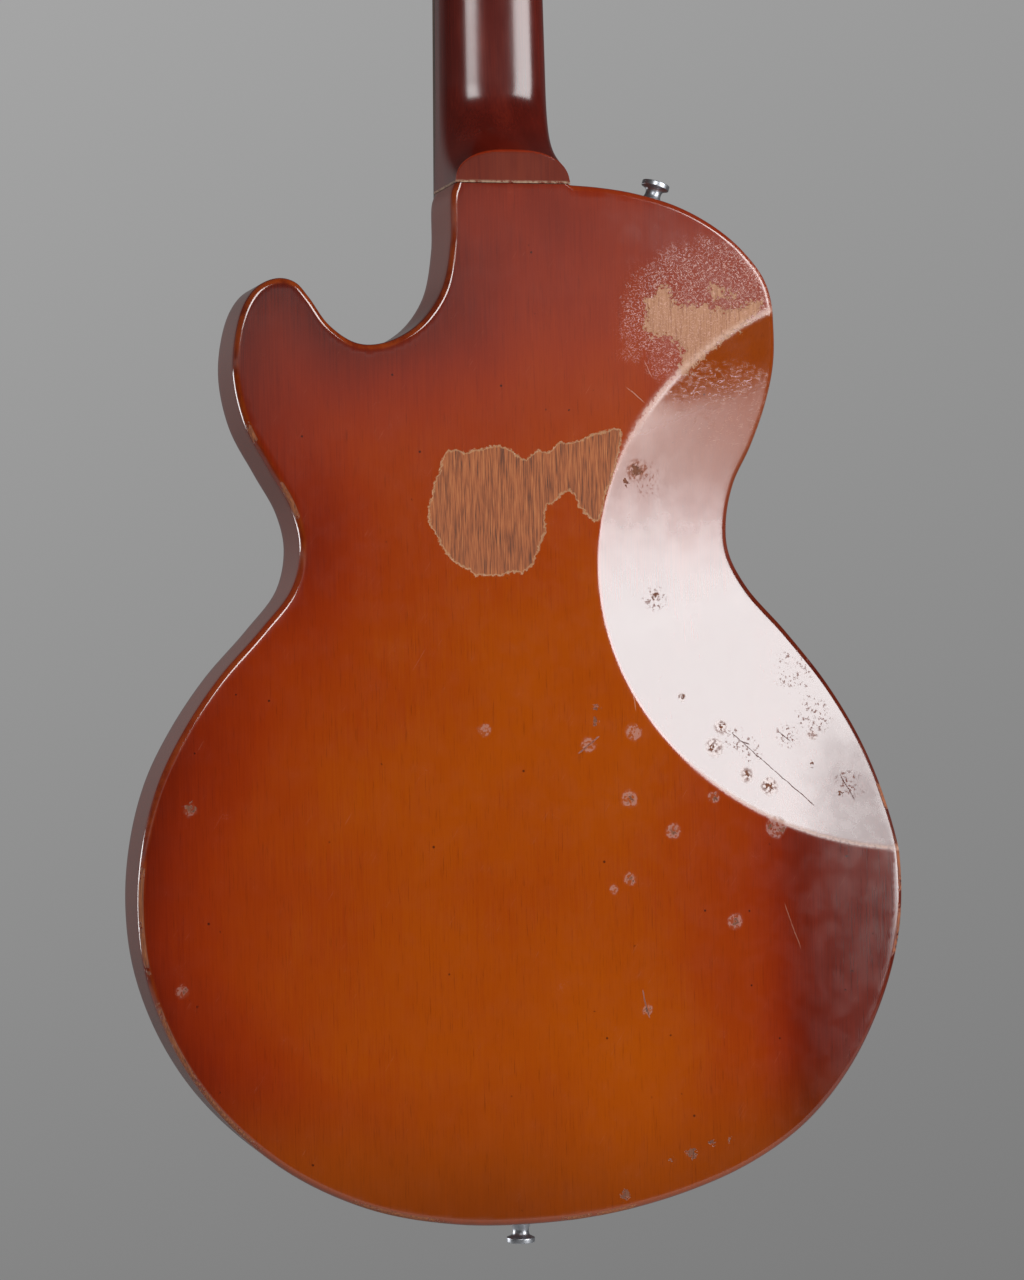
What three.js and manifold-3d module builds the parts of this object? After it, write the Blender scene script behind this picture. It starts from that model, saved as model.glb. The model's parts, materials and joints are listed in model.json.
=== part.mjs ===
// Electric bass guitar: short scale, solid body with one cutaway and a belly cut in its back, set neck,
// tilted headstock with two open-geared tuners a side.
// Lengths are millimetres. The origin is the middle of the nut's front edge, on the plane where the
// fingerboard is glued to the neck. +X is the treble side, +Y the back and +Z runs up to the headstock.
import * as THREE from "three";
import { mergeVertices } from "three/addons/utils/BufferGeometryUtils.js";
import Module from "manifold-3d";

const wasm = await Module();
wasm.setup();

// Driving dimensions of the neck and fingerboard
const scaleLength = 774.7;
const semitones = 12;
const fretCount = 20;
const jointFret = 16;
const nutWidth = 38.5;
const lastFretWidth = 52.4;
const boardThickness = 6.35;
const boardRadius = 305;
const boardEndMargin = 5.3;
const fretHeight = 1.2;
const fretWidth = 2.7;
const fretCrownWidth = 1.3;
const fretTang = 0.7;
const fretInset = 0.4;
const neckDepthAtNut = 15.5;
const neckDepthAtHeel = 19.5;
const heelFlare = 1.7;
const neckSideDepth = 6.5;
const heelCapHeight = 13.9;
const heelCurveHeight = 48;
const tenonWidth = 38;
const tenonDepth = 28;
const tenonLength = 68;

// Driving dimensions of the body
const bodyThickness = 42;
const bodyHalfWidth = 177.4;
const bodyLength = 461.5;
const edgeRadius = 3;
const heelLandHeight = 7;
const bellyCentreX = -190;
const bellyCentreDrop = 171;
const bellyHalfWidth = 154;
const bellyHalfHeight = 130;
const bellyConeDepth = 40;

// Driving dimensions of the headstock
const headTilt = THREE.MathUtils.degToRad(14);
const headLength = 190;
const headHalfWidth = 41;
const headThickness = 14;
const veneerThickness = 1.5;
const veneerInset = 0.6;
const nutThickness = 5;
const nutExposure = 1;
const nutClearance = 0.6;

// Strings, from the lowest note to the highest
const stringNotes = ["e", "a", "d", "g"];
const stringDiameters = [2.54, 2.03, 1.65, 1.14];
const nutSpacing = 10;
const bridgeSpacing = 18;
const bridgeAction = 5;
const windingTurns = 1.75;
const windingGap = 0.45;
const ballRadius = 2.6;
const ballLength = 4.4;

// Tuners
const tunerSpacing = 68;
const firstTunerRise = 52;
const postInset = 18;
const postRadius = 5;
const postWaistRadius = 4;
const postHeight = 22;
const postWaistStart = 7;
const postWaistLength = 10;
const postTailRadius = 3;
const postScrewRadius = 4.6;
const postScrewHeight = 1.6;
const bushingFlangeRadius = 7;
const bushingSleeveRadius = 6.2;
const bushingFlangeHeight = 1;
const bushingDepth = 6;
const plateThickness = 1.6;
const plateMargin = 3;
const gearTeeth = 20;
const gearPitch = 2.83;
const gearThickness = 3;
const toothHeight = 0.72;
const toothDepth = 1.12;
const gearToothTip = 0.7;
const gearToothRoot = 1.5;
const wormPitchRadius = 3.2;
const wormToothTip = 0.55;
const wormToothRoot = 1.25;
const wormTurns = 2.5;
const bearingThickness = 3;
const keyShaftRadius = 1.9;
const keyReach = 8;
const keyLength = 25;
const keyHalfHeight = 13;
const keyThickness = 4;

// Truss rod
const rodRadius = 2.5;
const rodDepth = 8;
const rodTailMargin = 12;
const rodTip = 19;
const rodNutRadius = 4.5;
const rodNutStart = 9;
const rodNutLength = 14;
const rodNutGrip = 11;
const rodPocketEnd = 31;
const rodPocketMargin = 1.2;
const rodCoverThickness = 2;
const rodCoverHalfWidth = 12;
const rodCoverLength = 42;
const rodCoverStart = 1.5;

// Bridge
const bridgeLift = 4.3;
const bridgeFloor = 2.2;
const bridgeHalfWidth = 39;
const bridgeWall = 2.5;
const bridgeFrontReach = 17.5;
const bridgeTailReach = 24.5;
const bridgeTailWall = 4;
const bridgeFrontHeight = 10.2;
const bridgeTailHeight = 15.6;
const earReach = 14;
const earHalfLength = 7;
const earThickness = 4;
const saddleWidth = 15;
const saddleLength = 12;
const saddleGrip = 0.6;
const saddleTravel = 5;
const tailDrop = 1.6;
const bendMargin = 1.2;
const screwOffset = 4.9;
const screwHeight = 8.3;
const screwRadius = 1.25;
const screwHeadRadius = 2.3;
const screwHeadHeight = 2.2;
const studSpacing = 92;
const studShankRadius = 3.9;
const studNeckRadius = 3.5;
const studCollarRadius = 6.2;
const studHeadRadius = 5.6;
const studHeadHeight = 2.4;
const studCollarHeight = 2.8;
const studDepth = 18;
const studBushingRadius = 5.6;
const studBushingFlangeRadius = 7;
const studBushingFlangeHeight = 0.8;
const studBushingDepth = 20;
const screwdriverSlot = 1.2;
const slotDepth = 1.2;

// Pickup
const pickupGap = 3;
const ringHalfWidth = 49;
const ringHalfHeight = 28;
const ringThickness = 4;
const coverHalfWidth = 43;
const coverHalfHeight = 21;
const pickupHeight = 8.5;
const pickupDepth = 8;
const pickupWall = 0.9;
const pickupCavityDepth = 26;
const pickupCavityMargin = 3.4;
const basePlateThickness = 1.5;
const basePlateHalfWidth = 45;
const basePlateHalfHeight = 8;
const poleRadius = 1.9;
const poleRise = 0.5;

// Pickguard, controls and jack
const guardThickness = 2.5;
const guardClearance = 1.5;
const controlCavityDepth = 32;
const channelRadius = 4;
const channelDepth = 14;
const potRadius = 12;
const potHeight = 9;
const potBushingRadius = 4.7;
const potBushingRise = 4.5;
const panelNutRadius = 7;
const panelNutHeight = 2.2;
const shaftRadius = 3;
const shaftTail = 1.5;
const knobRadius = 12.5;
const knobTopRadius = 10;
const knobHeight = 15;
const knobLift = 3.2;
const knobRecessRadius = 8.5;
const knobRecessDepth = 3.2;
const knobCrown = 2.2;
const jackBoreRadius = 3.25;
const jackBodyRadius = 7.5;
const jackDepth = 24;
const jackBoreDepth = 22;
const jackNutRadius = 8;
const cavityCrowding = 2.5;

// Strap buttons
const buttonHeadRadius = 6.35;
const buttonBaseRadius = 5.6;
const buttonWaistRadius = 3.6;
const buttonHeight = 10.6;
const buttonRimHeight = 2.2;
const buttonRecessDepth = 2.4;
const strapScrewHeadRadius = 3.6;
const strapScrewHeadHeight = 1.8;
const strapScrewRadius = 1.9;
const strapScrewLength = 34;

// Clearances and cuts
const fit = 0.3;
const overrun = 5;
const mergeTolerance = 1e-4;

// The body's edge beside the heel, down to the floor of the cutaway: each pair is a share of the way
// from the heel to the body's full half width, and a share of the body's length below the neck seam.
const heelSideShares = [[0.012, 0.011], [0.017, 0.057], [0.048, 0.104], [0.121, 0.136]];
// The rest of the body's outline, round to the bass side of the neck: each pair is a share of the
// body's half width and a share of its length below the neck seam.
const outlineShares = [
  [0.338, 0.153], [0.406, 0.153],
  [0.474, 0.136], [0.523, 0.11], [0.556, 0.096], [0.597, 0.092], [0.647, 0.099], [0.685, 0.117],
  [0.711, 0.15], [0.716, 0.186], [0.69, 0.231], [0.631, 0.274], [0.577, 0.312], [0.558, 0.347],
  [0.58, 0.386], [0.658, 0.424], [0.767, 0.47], [0.856, 0.519], [0.921, 0.568], [0.962, 0.626],
  [0.975, 0.687], [0.956, 0.75], [0.892, 0.817], [0.787, 0.878], [0.617, 0.937], [0.412, 0.977],
  [0.197, 0.996], [0, 1], [-0.199, 0.995], [-0.409, 0.978], [-0.588, 0.952], [-0.733, 0.916],
  [-0.852, 0.865], [-0.943, 0.799], [-0.991, 0.735], [-1, 0.674], [-0.979, 0.611], [-0.93, 0.547],
  [-0.849, 0.487], [-0.744, 0.435], [-0.634, 0.39], [-0.583, 0.356], [-0.575, 0.325], [-0.594, 0.288],
  [-0.639, 0.252], [-0.674, 0.213], [-0.692, 0.173], [-0.686, 0.135], [-0.663, 0.093], [-0.606, 0.063],
  [-0.53, 0.039], [-0.429, 0.019], [-0.316, 0.007], [-0.225, 0.002],
];
const guardShares = [
  [0.3, 0.175], [0.45, 0.184], [0.61, 0.178], [0.67, 0.206], [0.64, 0.26], [0.55, 0.31], [0.5, 0.349],
  [0.53, 0.397], [0.64, 0.462], [0.77, 0.538], [0.85, 0.604], [0.89, 0.669], [0.89, 0.723],
  [0.84, 0.784], [0.74, 0.843], [0.6, 0.871], [0.45, 0.858], [0.38, 0.81], [0.35, 0.756], [0.35, 0.636],
  [0.33, 0.582], [0.27, 0.538], [0.25, 0.484], [0.25, 0.375], [0.26, 0.288], [0.3, 0.267],
];
const cavityShares = [
  [0.47, 0.56], [0.68, 0.56], [0.84, 0.669], [0.81, 0.745], [0.75, 0.828], [0.59, 0.832], [0.48, 0.723],
];
const controlShares = { volume: [0.57, 0.604], tone: [0.71, 0.69], jack: [0.67, 0.793] };

// The headstock's half outline, in shares of its half width and of its length.
const headShares = [
  [0.52, 0.02], [0.54, 0.06], [0.7, 0.13], [0.9, 0.2], [0.97, 0.27], [0.95, 0.5], [0.97, 0.75],
  [1, 0.88], [0.9, 0.955], [0.5, 0.99], [0, 1],
];
// The rod cover's half outline, in shares of its half width and of its length.
const rodCoverShares = [[1, 0], [1, 0.2], [0.8, 0.5], [0.45, 0.85], [0, 1]];
// A tuner key's half outline, in shares of its length and of its half height.
const keyShares = [[0, 0.25], [0.1, 0.3], [0.2, 0.75], [0.45, 1], [0.75, 0.92], [0.97, 0.5], [1, 0]];
// A strap button's swelling, in shares of its height and of the way from its waist to its head.
const bellShares = [[0.22, 0.35], [0.45, 0], [0.68, 0.18]];

const finish = (color, roughness, metalness) =>
  new THREE.MeshStandardMaterial({ color, roughness, metalness });
const finishes = {
  lacquer: finish(0x8a3312, 0.2, 0),
  neck: finish(0x5a1d0f, 0.22, 0),
  board: finish(0x2f1b14, 0.5, 0),
  black: finish(0x141214, 0.3, 0),
  bone: finish(0xe4dcc4, 0.45, 0),
  nickel: finish(0xc9c7c0, 0.28, 1),
  steel: finish(0xa9aaac, 0.35, 1),
  aluminium: finish(0xc4c3bf, 0.4, 1),
  brass: finish(0xb59a5a, 0.4, 1),
  winding: finish(0xb9b6ad, 0.35, 1),
};

// Solids

const bass = new THREE.Group();
const headstock = new THREE.Group();
const headPivot = nutThickness + nutExposure;
headstock.position.z = headPivot;
headstock.rotation.x = -headTilt;
headstock.updateMatrix();
bass.add(headstock);

// A closed geometry as a solid that can be joined and cut, with its faces turned to point outwards.
function solid(geometry) {
  const bare = new THREE.BufferGeometry();
  const source = geometry.index ? geometry.toNonIndexed() : geometry;
  bare.setAttribute("position", source.getAttribute("position").clone());
  const merged = mergeVertices(bare, mergeTolerance);
  const corners = merged.index.array;
  const kept = [];
  const turnedRound = [];
  for (let i = 0; i < corners.length; i += 3) {
    const [a, b, c] = [corners[i], corners[i + 1], corners[i + 2]];
    if (a === b || b === c || c === a) continue;
    kept.push(a, b, c);
    turnedRound.push(a, c, b);
  }
  const made = (triangles) =>
    new wasm.Manifold(
      new wasm.Mesh({
        numProp: 3,
        vertProperties: merged.attributes.position.array,
        triVerts: new Uint32Array(triangles),
      }),
    );
  const outward = made(kept);
  return outward.volume() > 0 ? outward : made(turnedRound);
}

function geometryOf(made) {
  const mesh = made.getMesh();
  const geometry = new THREE.BufferGeometry();
  geometry.setAttribute("position", new THREE.BufferAttribute(mesh.vertProperties, mesh.numProp));
  geometry.setIndex(new THREE.BufferAttribute(mesh.triVerts, 1));
  geometry.computeVertexNormals();
  return geometry;
}

const join = (first, ...others) => others.reduce((sum, other) => sum.add(other), first);
const cut = (first, ...tools) => tools.reduce((left, tool) => left.subtract(tool), first);

// Adds one named piece to a group, at a place in that group.
function add(group, name, made, material, place = [0, 0, 0]) {
  const mesh = new THREE.Mesh(geometryOf(made), material.clone());
  mesh.name = name;
  mesh.position.set(...place);
  group.add(mesh);
  return mesh;
}

// A box between two corners.
function block([x0, y0, z0], [x1, y1, z1]) {
  const geometry = new THREE.BoxGeometry(x1 - x0, y1 - y0, z1 - z0);
  geometry.translate((x0 + x1) / 2, (y0 + y1) / 2, (z0 + z1) / 2);
  return solid(geometry);
}

const turns = {
  x: (geometry) => geometry.rotateZ(-Math.PI / 2),
  y: (geometry) => geometry,
  z: (geometry) => geometry.rotateX(Math.PI / 2),
};

// A turned piece: pairs of radius and place along the axis, from axis to axis or closed on themselves.
function turned(profile, sides, axis = "y", place = [0, 0, 0]) {
  const points = profile.map(([radius, along]) => new THREE.Vector2(radius, along));
  return solid(turns[axis](new THREE.LatheGeometry(points, sides)).translate(...place));
}

const rod = (radius, from, to, sides, axis, place) =>
  turned([[0, from], [radius, from], [radius, to], [0, to]], sides, axis, place);

// A plate: an outline in X and Z, between two places along Y, with an optional rounded edge.
function plate(outline, front, back, bevel = 0, bevelSegments = 2) {
  const shape = new THREE.Shape(outline);
  const geometry = new THREE.ExtrudeGeometry(shape, {
    depth: back - front - 2 * bevel,
    bevelEnabled: bevel > 0,
    bevelThickness: bevel,
    bevelSize: bevel,
    bevelOffset: -bevel,
    bevelSegments,
  });
  return solid(geometry.rotateX(Math.PI / 2).translate(0, back - bevel, 0));
}

// A bar: an outline in Z and Y, between two places along X.
function bar(outline, from, to) {
  const shape = new THREE.Shape(outline.map(([z, y]) => new THREE.Vector2(z, y)));
  const geometry = new THREE.ExtrudeGeometry(shape, { depth: to - from, bevelEnabled: false });
  const swapped = new THREE.Matrix4().makeBasis(
    new THREE.Vector3(0, 0, 1),
    new THREE.Vector3(0, 1, 0),
    new THREE.Vector3(1, 0, 0),
  );
  return solid(geometry.applyMatrix4(swapped).translate(from, 0, 0));
}

// A skin over rings of points with as many points each, closed by a flat cap at either end.
function loft(rings) {
  const count = rings[0].length;
  const positions = rings.flat().flatMap((point) => point.toArray());
  const index = [];
  for (let r = 0; r + 1 < rings.length; r++) {
    for (let i = 0; i < count; i++) {
      const a = r * count + i;
      const b = r * count + ((i + 1) % count);
      index.push(a, b, b + count, a, b + count, a + count);
    }
  }
  const last = (rings.length - 1) * count;
  for (let i = 1; i + 1 < count; i++) {
    index.push(0, i + 1, i, last, last + i, last + i + 1);
  }
  const geometry = new THREE.BufferGeometry();
  geometry.setAttribute("position", new THREE.Float32BufferAttribute(positions, 3));
  geometry.setIndex(index);
  return solid(geometry);
}

// A round tube along a chain of points, which turns as little as it can from step to step.
function tube(path, radius, sides) {
  const rings = [];
  let side = new THREE.Vector3(1, 0, 0);
  path.forEach((point, i) => {
    const before = path[Math.max(i - 1, 0)];
    const after = path[Math.min(i + 1, path.length - 1)];
    const ahead = after.clone().sub(before).normalize();
    side = side.clone().addScaledVector(ahead, -side.dot(ahead)).normalize();
    const up = ahead.clone().cross(side);
    const ring = Array.from({ length: sides }, (_, k) => {
      const angle = (2 * Math.PI * k) / sides;
      return point
        .clone()
        .addScaledVector(side, radius * Math.cos(angle))
        .addScaledVector(up, radius * Math.sin(angle));
    });
    rings.push(ring);
  });
  return loft(rings);
}

// A smooth outline through points given as pairs.
function smooth(points, steps, closed) {
  const curve = new THREE.CatmullRomCurve3(
    points.map(([x, z]) => new THREE.Vector3(x, z, 0)),
    closed,
    "centripetal",
  );
  const spans = closed ? points.length : points.length - 1;
  const found = curve.getPoints(spans * steps).map((p) => new THREE.Vector2(p.x, p.y));
  return closed ? found.slice(0, -1) : found;
}

// Both halves of an outline that is given as its half on the +X side, from the bottom to the top.
const mirrored = (half) => [...half, ...half.filter(([x]) => x > 0).reverse().map(([x, z]) => [-x, z])];
const pairs = (points) => points.map(([x, z]) => new THREE.Vector2(x, z));

// Places

const fretAt = (fret) => -scaleLength * (1 - 2 ** (-fret / semitones));
const widthAt = (z) => nutWidth + ((lastFretWidth - nutWidth) * z) / fretAt(fretCount);
const camber = (x) => (x * x) / (2 * boardRadius);
const boardEnd = fretAt(fretCount) - boardEndMargin;
const seam = fretAt(jointFret);
const heelHalf = (widthAt(seam) + heelFlare) / 2;
const onBody = ([across, down]) => [across * bodyHalfWidth, seam - down * bodyLength];
const besideHeel = ([across, down]) => [
  heelHalf + across * (bodyHalfWidth - heelHalf),
  seam - down * bodyLength,
];

const bassStrings = stringNotes.map((note, i) => {
  const place = i - (stringNotes.length - 1) / 2;
  const radius = stringDiameters[i] / 2;
  const fretTop = boardThickness + fretHeight;
  const nutX = place * nutSpacing;
  const bridgeX = place * bridgeSpacing;
  const side = Math.sign(place);
  const outer = Math.abs(place) > 1;
  return {
    note,
    radius,
    side,
    nutX,
    nutY: camber(nutX) - fretTop - nutClearance - radius,
    bridgeX,
    bridgeY: camber(bridgeX) - fretTop - bridgeAction - radius,
    postX: side * (headHalfWidth - postInset),
    postZ: firstTunerRise + (outer ? 0 : tunerSpacing),
  };
});
// The string's centre over a place along the neck.
function stringPoint(string, z) {
  const share = -z / scaleLength;
  const x = string.nutX + (string.bridgeX - string.nutX) * share;
  const y = string.nutY + (string.bridgeY - string.nutY) * share;
  return new THREE.Vector3(x, y, z);
}

// Neck

// One ring of the neck: flat in front, straight at the sides and a superellipse behind them. Beyond the
// pivot the ring leans back.
function neckRing({ z, width, depth, fullness, beyond = 0, lean = 0 }) {
  const steps = 14;
  const swell = Array.from({ length: steps + 1 }, (_, i) => {
    const angle = (Math.PI * i) / steps;
    const reach = Math.abs(Math.cos(angle)) ** (2 / fullness);
    const drop = i % steps ? Math.sin(angle) ** (2 / fullness) : 0;
    const across = (width / 2) * Math.sign(Math.cos(angle)) * reach;
    return [across, neckSideDepth + (depth - neckSideDepth) * drop];
  });
  return [[width / 2, 0], ...swell, [-width / 2, 0]].map(
    ([x, y]) =>
      new THREE.Vector3(
        x,
        y * Math.cos(lean) + beyond * Math.sin(lean),
        z - y * Math.sin(lean) + beyond * Math.cos(lean),
      ),
  );
}

const shaftFullness = 2.3;
const heelFullness = 7;
const heelFullnessFall = 5.5;
const heelSweep = 2.2;
const heelStationShares = [0, 0.07, 0.14, 0.2, 0.26, 0.32, 0.4, 0.5, 0.62, 0.78, 1];
const voluteShares = [
  { beyondShare: 0, leanShare: 0.5, widthShare: 0.52, depthShare: 1.08, fullness: 2.8 },
  { beyondShare: 0.05, leanShare: 1, widthShare: 0.56, depthShare: 1.04, fullness: 3.5 },
  { beyondShare: 0.1, leanShare: 1, widthShare: 0.62, depthShare: 0.99, fullness: 4.5 },
  { beyondShare: 0.17, leanShare: 1, widthShare: 0.72, depthShare: 0.9, fullness: 6 },
];

function neckShaft() {
  const heel = heelStationShares.map((share) => {
    const rise = share * heelCurveHeight;
    const left = 1 - share;
    const capLeft = 1 - heelCapHeight / heelCurveHeight;
    const swell = (left / capLeft) ** heelSweep;
    return neckRing({
      z: seam + fit + rise,
      width: widthAt(seam + rise) + heelFlare * left ** 2,
      depth: neckDepthAtHeel + (bodyThickness - neckDepthAtHeel) * swell,
      fullness: shaftFullness + (heelFullness - shaftFullness) * left ** heelFullnessFall,
    });
  });
  const nutEnd = neckRing({
    z: 0,
    width: nutWidth,
    depth: neckDepthAtNut,
    fullness: shaftFullness,
  });
  const volute = voluteShares.map((row) =>
    neckRing({
      z: headPivot,
      beyond: row.beyondShare * headLength,
      lean: row.leanShare * headTilt,
      width: row.widthShare * 2 * headHalfWidth,
      depth: row.depthShare * headThickness,
      fullness: row.fullness,
    }),
  );
  return loft([...heel, nutEnd, ...volute]);
}

const headOutline = mirrored(
  smooth(headShares, 2, false).map((p) => [p.x * headHalfWidth, p.y * headLength]),
);
const headBack = headThickness + fit;
const veneerFront = -fit - veneerThickness;
const tilted = (made) => solid(geometryOf(made).applyMatrix4(headstock.matrix));

function neck() {
  const head = tilted(plate(pairs(headOutline), 0, headThickness, veneerThickness));
  const tenon = block(
    [-tenonWidth / 2, 0, seam - tenonLength],
    [tenonWidth / 2, tenonDepth, seam + fit + overrun],
  );
  const farSide = bodyThickness * 2 + overrun;
  const behindHeel = block([-nutWidth, bodyThickness, seam - overrun], [nutWidth, farSide, 0]);
  const rodSlot = block(
    [-rodRadius - fit, -overrun, seam + rodTailMargin - fit],
    [rodRadius + fit, rodDepth + rodRadius + fit, rodNutStart],
  );
  const pocketReach = rodNutRadius + rodPocketMargin;
  const rodPocket = block(
    [-pocketReach, -overrun, rodNutStart - rodPocketMargin],
    [pocketReach, rodDepth + rodNutRadius + fit, rodPocketEnd],
  );
  const postHoles = bassStrings.map(({ postX, postZ }) =>
    tilted(
      rod(bushingSleeveRadius + fit, -overrun, headThickness + overrun, 16, "y", [postX, 0, postZ]),
    ),
  );
  return cut(join(neckShaft(), head, tenon), behindHeel, rodSlot, rodPocket, ...postHoles);
}
add(bass, "neck", neck(), finishes.neck);

// Fingerboard, with its frets in place
function fingerboard() {
  const steps = 4;
  const section = (z) => {
    const half = widthAt(z) / 2;
    const top = Array.from({ length: steps + 1 }, (_, i) => {
      const x = half * (1 - (2 * i) / steps);
      return new THREE.Vector3(x, camber(x) - boardThickness, z);
    });
    return [new THREE.Vector3(half, 0, z), ...top, new THREE.Vector3(-half, 0, z)];
  };
  const frets = Array.from({ length: fretCount }, (_, i) => {
    const z = fretAt(i + 1);
    const half = widthAt(z) / 2 - fretInset;
    const rings = Array.from({ length: steps + 1 }, (__, k) => {
      const x = half * ((2 * k) / steps - 1);
      const surface = camber(x) - boardThickness;
      return [
        new THREE.Vector3(x, surface + fretTang, z - fretWidth / 2),
        new THREE.Vector3(x, surface - fretHeight, z - fretCrownWidth / 2),
        new THREE.Vector3(x, surface - fretHeight, z + fretCrownWidth / 2),
        new THREE.Vector3(x, surface + fretTang, z + fretWidth / 2),
      ];
    });
    return loft(rings);
  });
  return join(loft([section(boardEnd), section(0)]), ...frets);
}
add(bass, "fingerboard", fingerboard(), finishes.board);

// Nut, slotted for the strings
function nut() {
  const steps = 6;
  const half = nutWidth / 2;
  const height = boardThickness + fretHeight + nutClearance + nutExposure;
  const section = (z) => {
    const top = Array.from({ length: steps + 1 }, (_, i) => {
      const x = half * (1 - (2 * i) / steps);
      return new THREE.Vector3(x, camber(x) - height, z);
    });
    return [new THREE.Vector3(half, 0, z), ...top, new THREE.Vector3(-half, 0, z)];
  };
  const slots = bassStrings.map(({ nutX, nutY, radius }) =>
    rod(radius + fit, -overrun, nutThickness + overrun, 12, "z", [nutX, nutY, 0]),
  );
  return cut(loft([section(fit), section(nutThickness)]), ...slots);
}
add(bass, "nut", nut(), finishes.bone);

// Truss rod, its nut and the cover over them
const rodTail = seam + rodTailMargin;
add(bass, "truss_rod", rod(rodRadius, rodTail, rodTip, 10, "z", [0, rodDepth, 0]), finishes.steel);
function trussRodNut() {
  const end = rodNutStart + rodNutLength;
  const bore = rod(rodRadius + fit, rodNutStart - overrun, rodNutStart + rodNutGrip, 10, "z");
  const socket = rod(rodRadius, end - slotDepth, end + overrun, 6, "z");
  return cut(rod(rodNutRadius, rodNutStart, end, 6, "z"), bore, socket);
}
add(bass, "truss_rod_nut", trussRodNut(), finishes.brass, [0, rodDepth, 0]);

const rodCoverOutline = mirrored(
  smooth(rodCoverShares, 2, false).map((p) => [
    p.x * rodCoverHalfWidth,
    rodCoverStart + p.y * rodCoverLength,
  ]),
);
const rodCoverFront = veneerFront - fit - rodCoverThickness;
add(
  headstock,
  "truss_rod_cover",
  plate(pairs(rodCoverOutline), rodCoverFront, veneerFront - fit),
  finishes.black,
);

// Headstock veneer
function veneer() {
  const outline = headOutline.map(([x, z]) => [
    x * (1 - veneerInset / headHalfWidth),
    z - veneerInset,
  ]);
  const sheet = plate(pairs(outline), veneerFront, -fit);
  const holes = bassStrings.map(({ postX, postZ }) =>
    rod(bushingSleeveRadius + fit, -overrun, overrun, 16, "y", [postX, 0, postZ]),
  );
  const reach = rodNutRadius + rodPocketMargin;
  const pocket = block([-reach, -overrun, -overrun], [reach, overrun, rodPocketEnd - headPivot]);
  return cut(sheet, pocket, ...holes);
}
add(headstock, "headstock_veneer", veneer(), finishes.black);

// Tuners: each has a back plate with two bearings, a key whose worm turns the gear on the post, and a
// bushing in the front of the headstock.
const gearPitchRadius = (gearTeeth * gearPitch) / (2 * Math.PI);
const wormDistance = gearPitchRadius + wormPitchRadius;
const plateBack = headBack + plateThickness;
const gearMiddle = plateBack + wormPitchRadius + toothHeight + fit;
const gearFront = gearMiddle - gearThickness / 2;
const gearBack = gearMiddle + gearThickness / 2;
const bearingGap = gearPitch * (wormTurns / 2 + 1);
const bushingFront = veneerFront - fit - bushingFlangeHeight;

function tunerPlate() {
  const half = bearingGap + bearingThickness + plateMargin;
  const top = wormDistance + wormPitchRadius + plateMargin;
  const bottom = -gearPitchRadius - plateMargin;
  const base = block([-half, headBack, bottom], [half, plateBack, top]);
  const bearingReach = keyShaftRadius + fit + toothDepth;
  const bearings = [-1, 1].map((side) => {
    const inner = side * bearingGap;
    const outer = side * (bearingGap + bearingThickness);
    return block(
      [Math.min(inner, outer), headBack, wormDistance - bearingReach],
      [Math.max(inner, outer), gearMiddle + bearingReach, wormDistance + bearingReach],
    );
  });
  const bore = rod(keyShaftRadius + fit, -half, half, 12, "x", [0, gearMiddle, wormDistance]);
  const boss = rod(postRadius, headBack, gearFront - fit, 10);
  const postHole = rod(postTailRadius + fit, headBack - overrun, gearBack + overrun, 10);
  return cut(join(base, boss, ...bearings), bore, postHole);
}

// The worm's thread: a rib that climbs one gear pitch in each turn, started so that a gap in it faces
// the gear's middle tooth.
function wormThread() {
  const stepsPerTurn = 10;
  const foot = wormPitchRadius - toothDepth - fit;
  const tip = wormPitchRadius + toothHeight;
  const quarter = 0.25;
  const rings = Array.from({ length: wormTurns * stepsPerTurn + 1 }, (_, i) => {
    const turn = i / stepsPerTurn - wormTurns / 2;
    const angle = 2 * Math.PI * turn;
    const along = gearPitch * (turn - quarter);
    const corner = (radius, offset) =>
      new THREE.Vector3(along + offset, radius * Math.cos(angle), radius * Math.sin(angle));
    return [
      corner(foot, -wormToothRoot / 2),
      corner(tip, -wormToothTip / 2),
      corner(tip, wormToothTip / 2),
      corner(foot, wormToothRoot / 2),
    ];
  });
  return loft(rings);
}

function tunerKey(side) {
  const coreRadius = wormPitchRadius - toothDepth;
  const outerEnd = postInset + keyReach;
  const coreEnd = bearingGap - fit;
  const core = rod(coreRadius, -coreEnd, coreEnd, 12, "x");
  const innerEnd = bearingGap + bearingThickness;
  const shaft = side > 0 ? [-innerEnd, outerEnd + fit] : [-outerEnd - fit, innerEnd];
  const paddleHalf = smooth(keyShares, 1, false).map((p) => [p.x * keyLength, p.y * keyHalfHeight]);
  const lower = paddleHalf.filter(([, z]) => z > 0).map(([x, z]) => [x, -z]).reverse();
  const paddle = [...paddleHalf, ...lower].map(([x, z]) => [side * (outerEnd + x), z]);
  return join(
    core,
    rod(keyShaftRadius, shaft[0], shaft[1], 12, "x"),
    wormThread(),
    plate(pairs(paddle), -keyThickness / 2, keyThickness / 2, keyThickness / 4, 1),
  );
}

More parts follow.
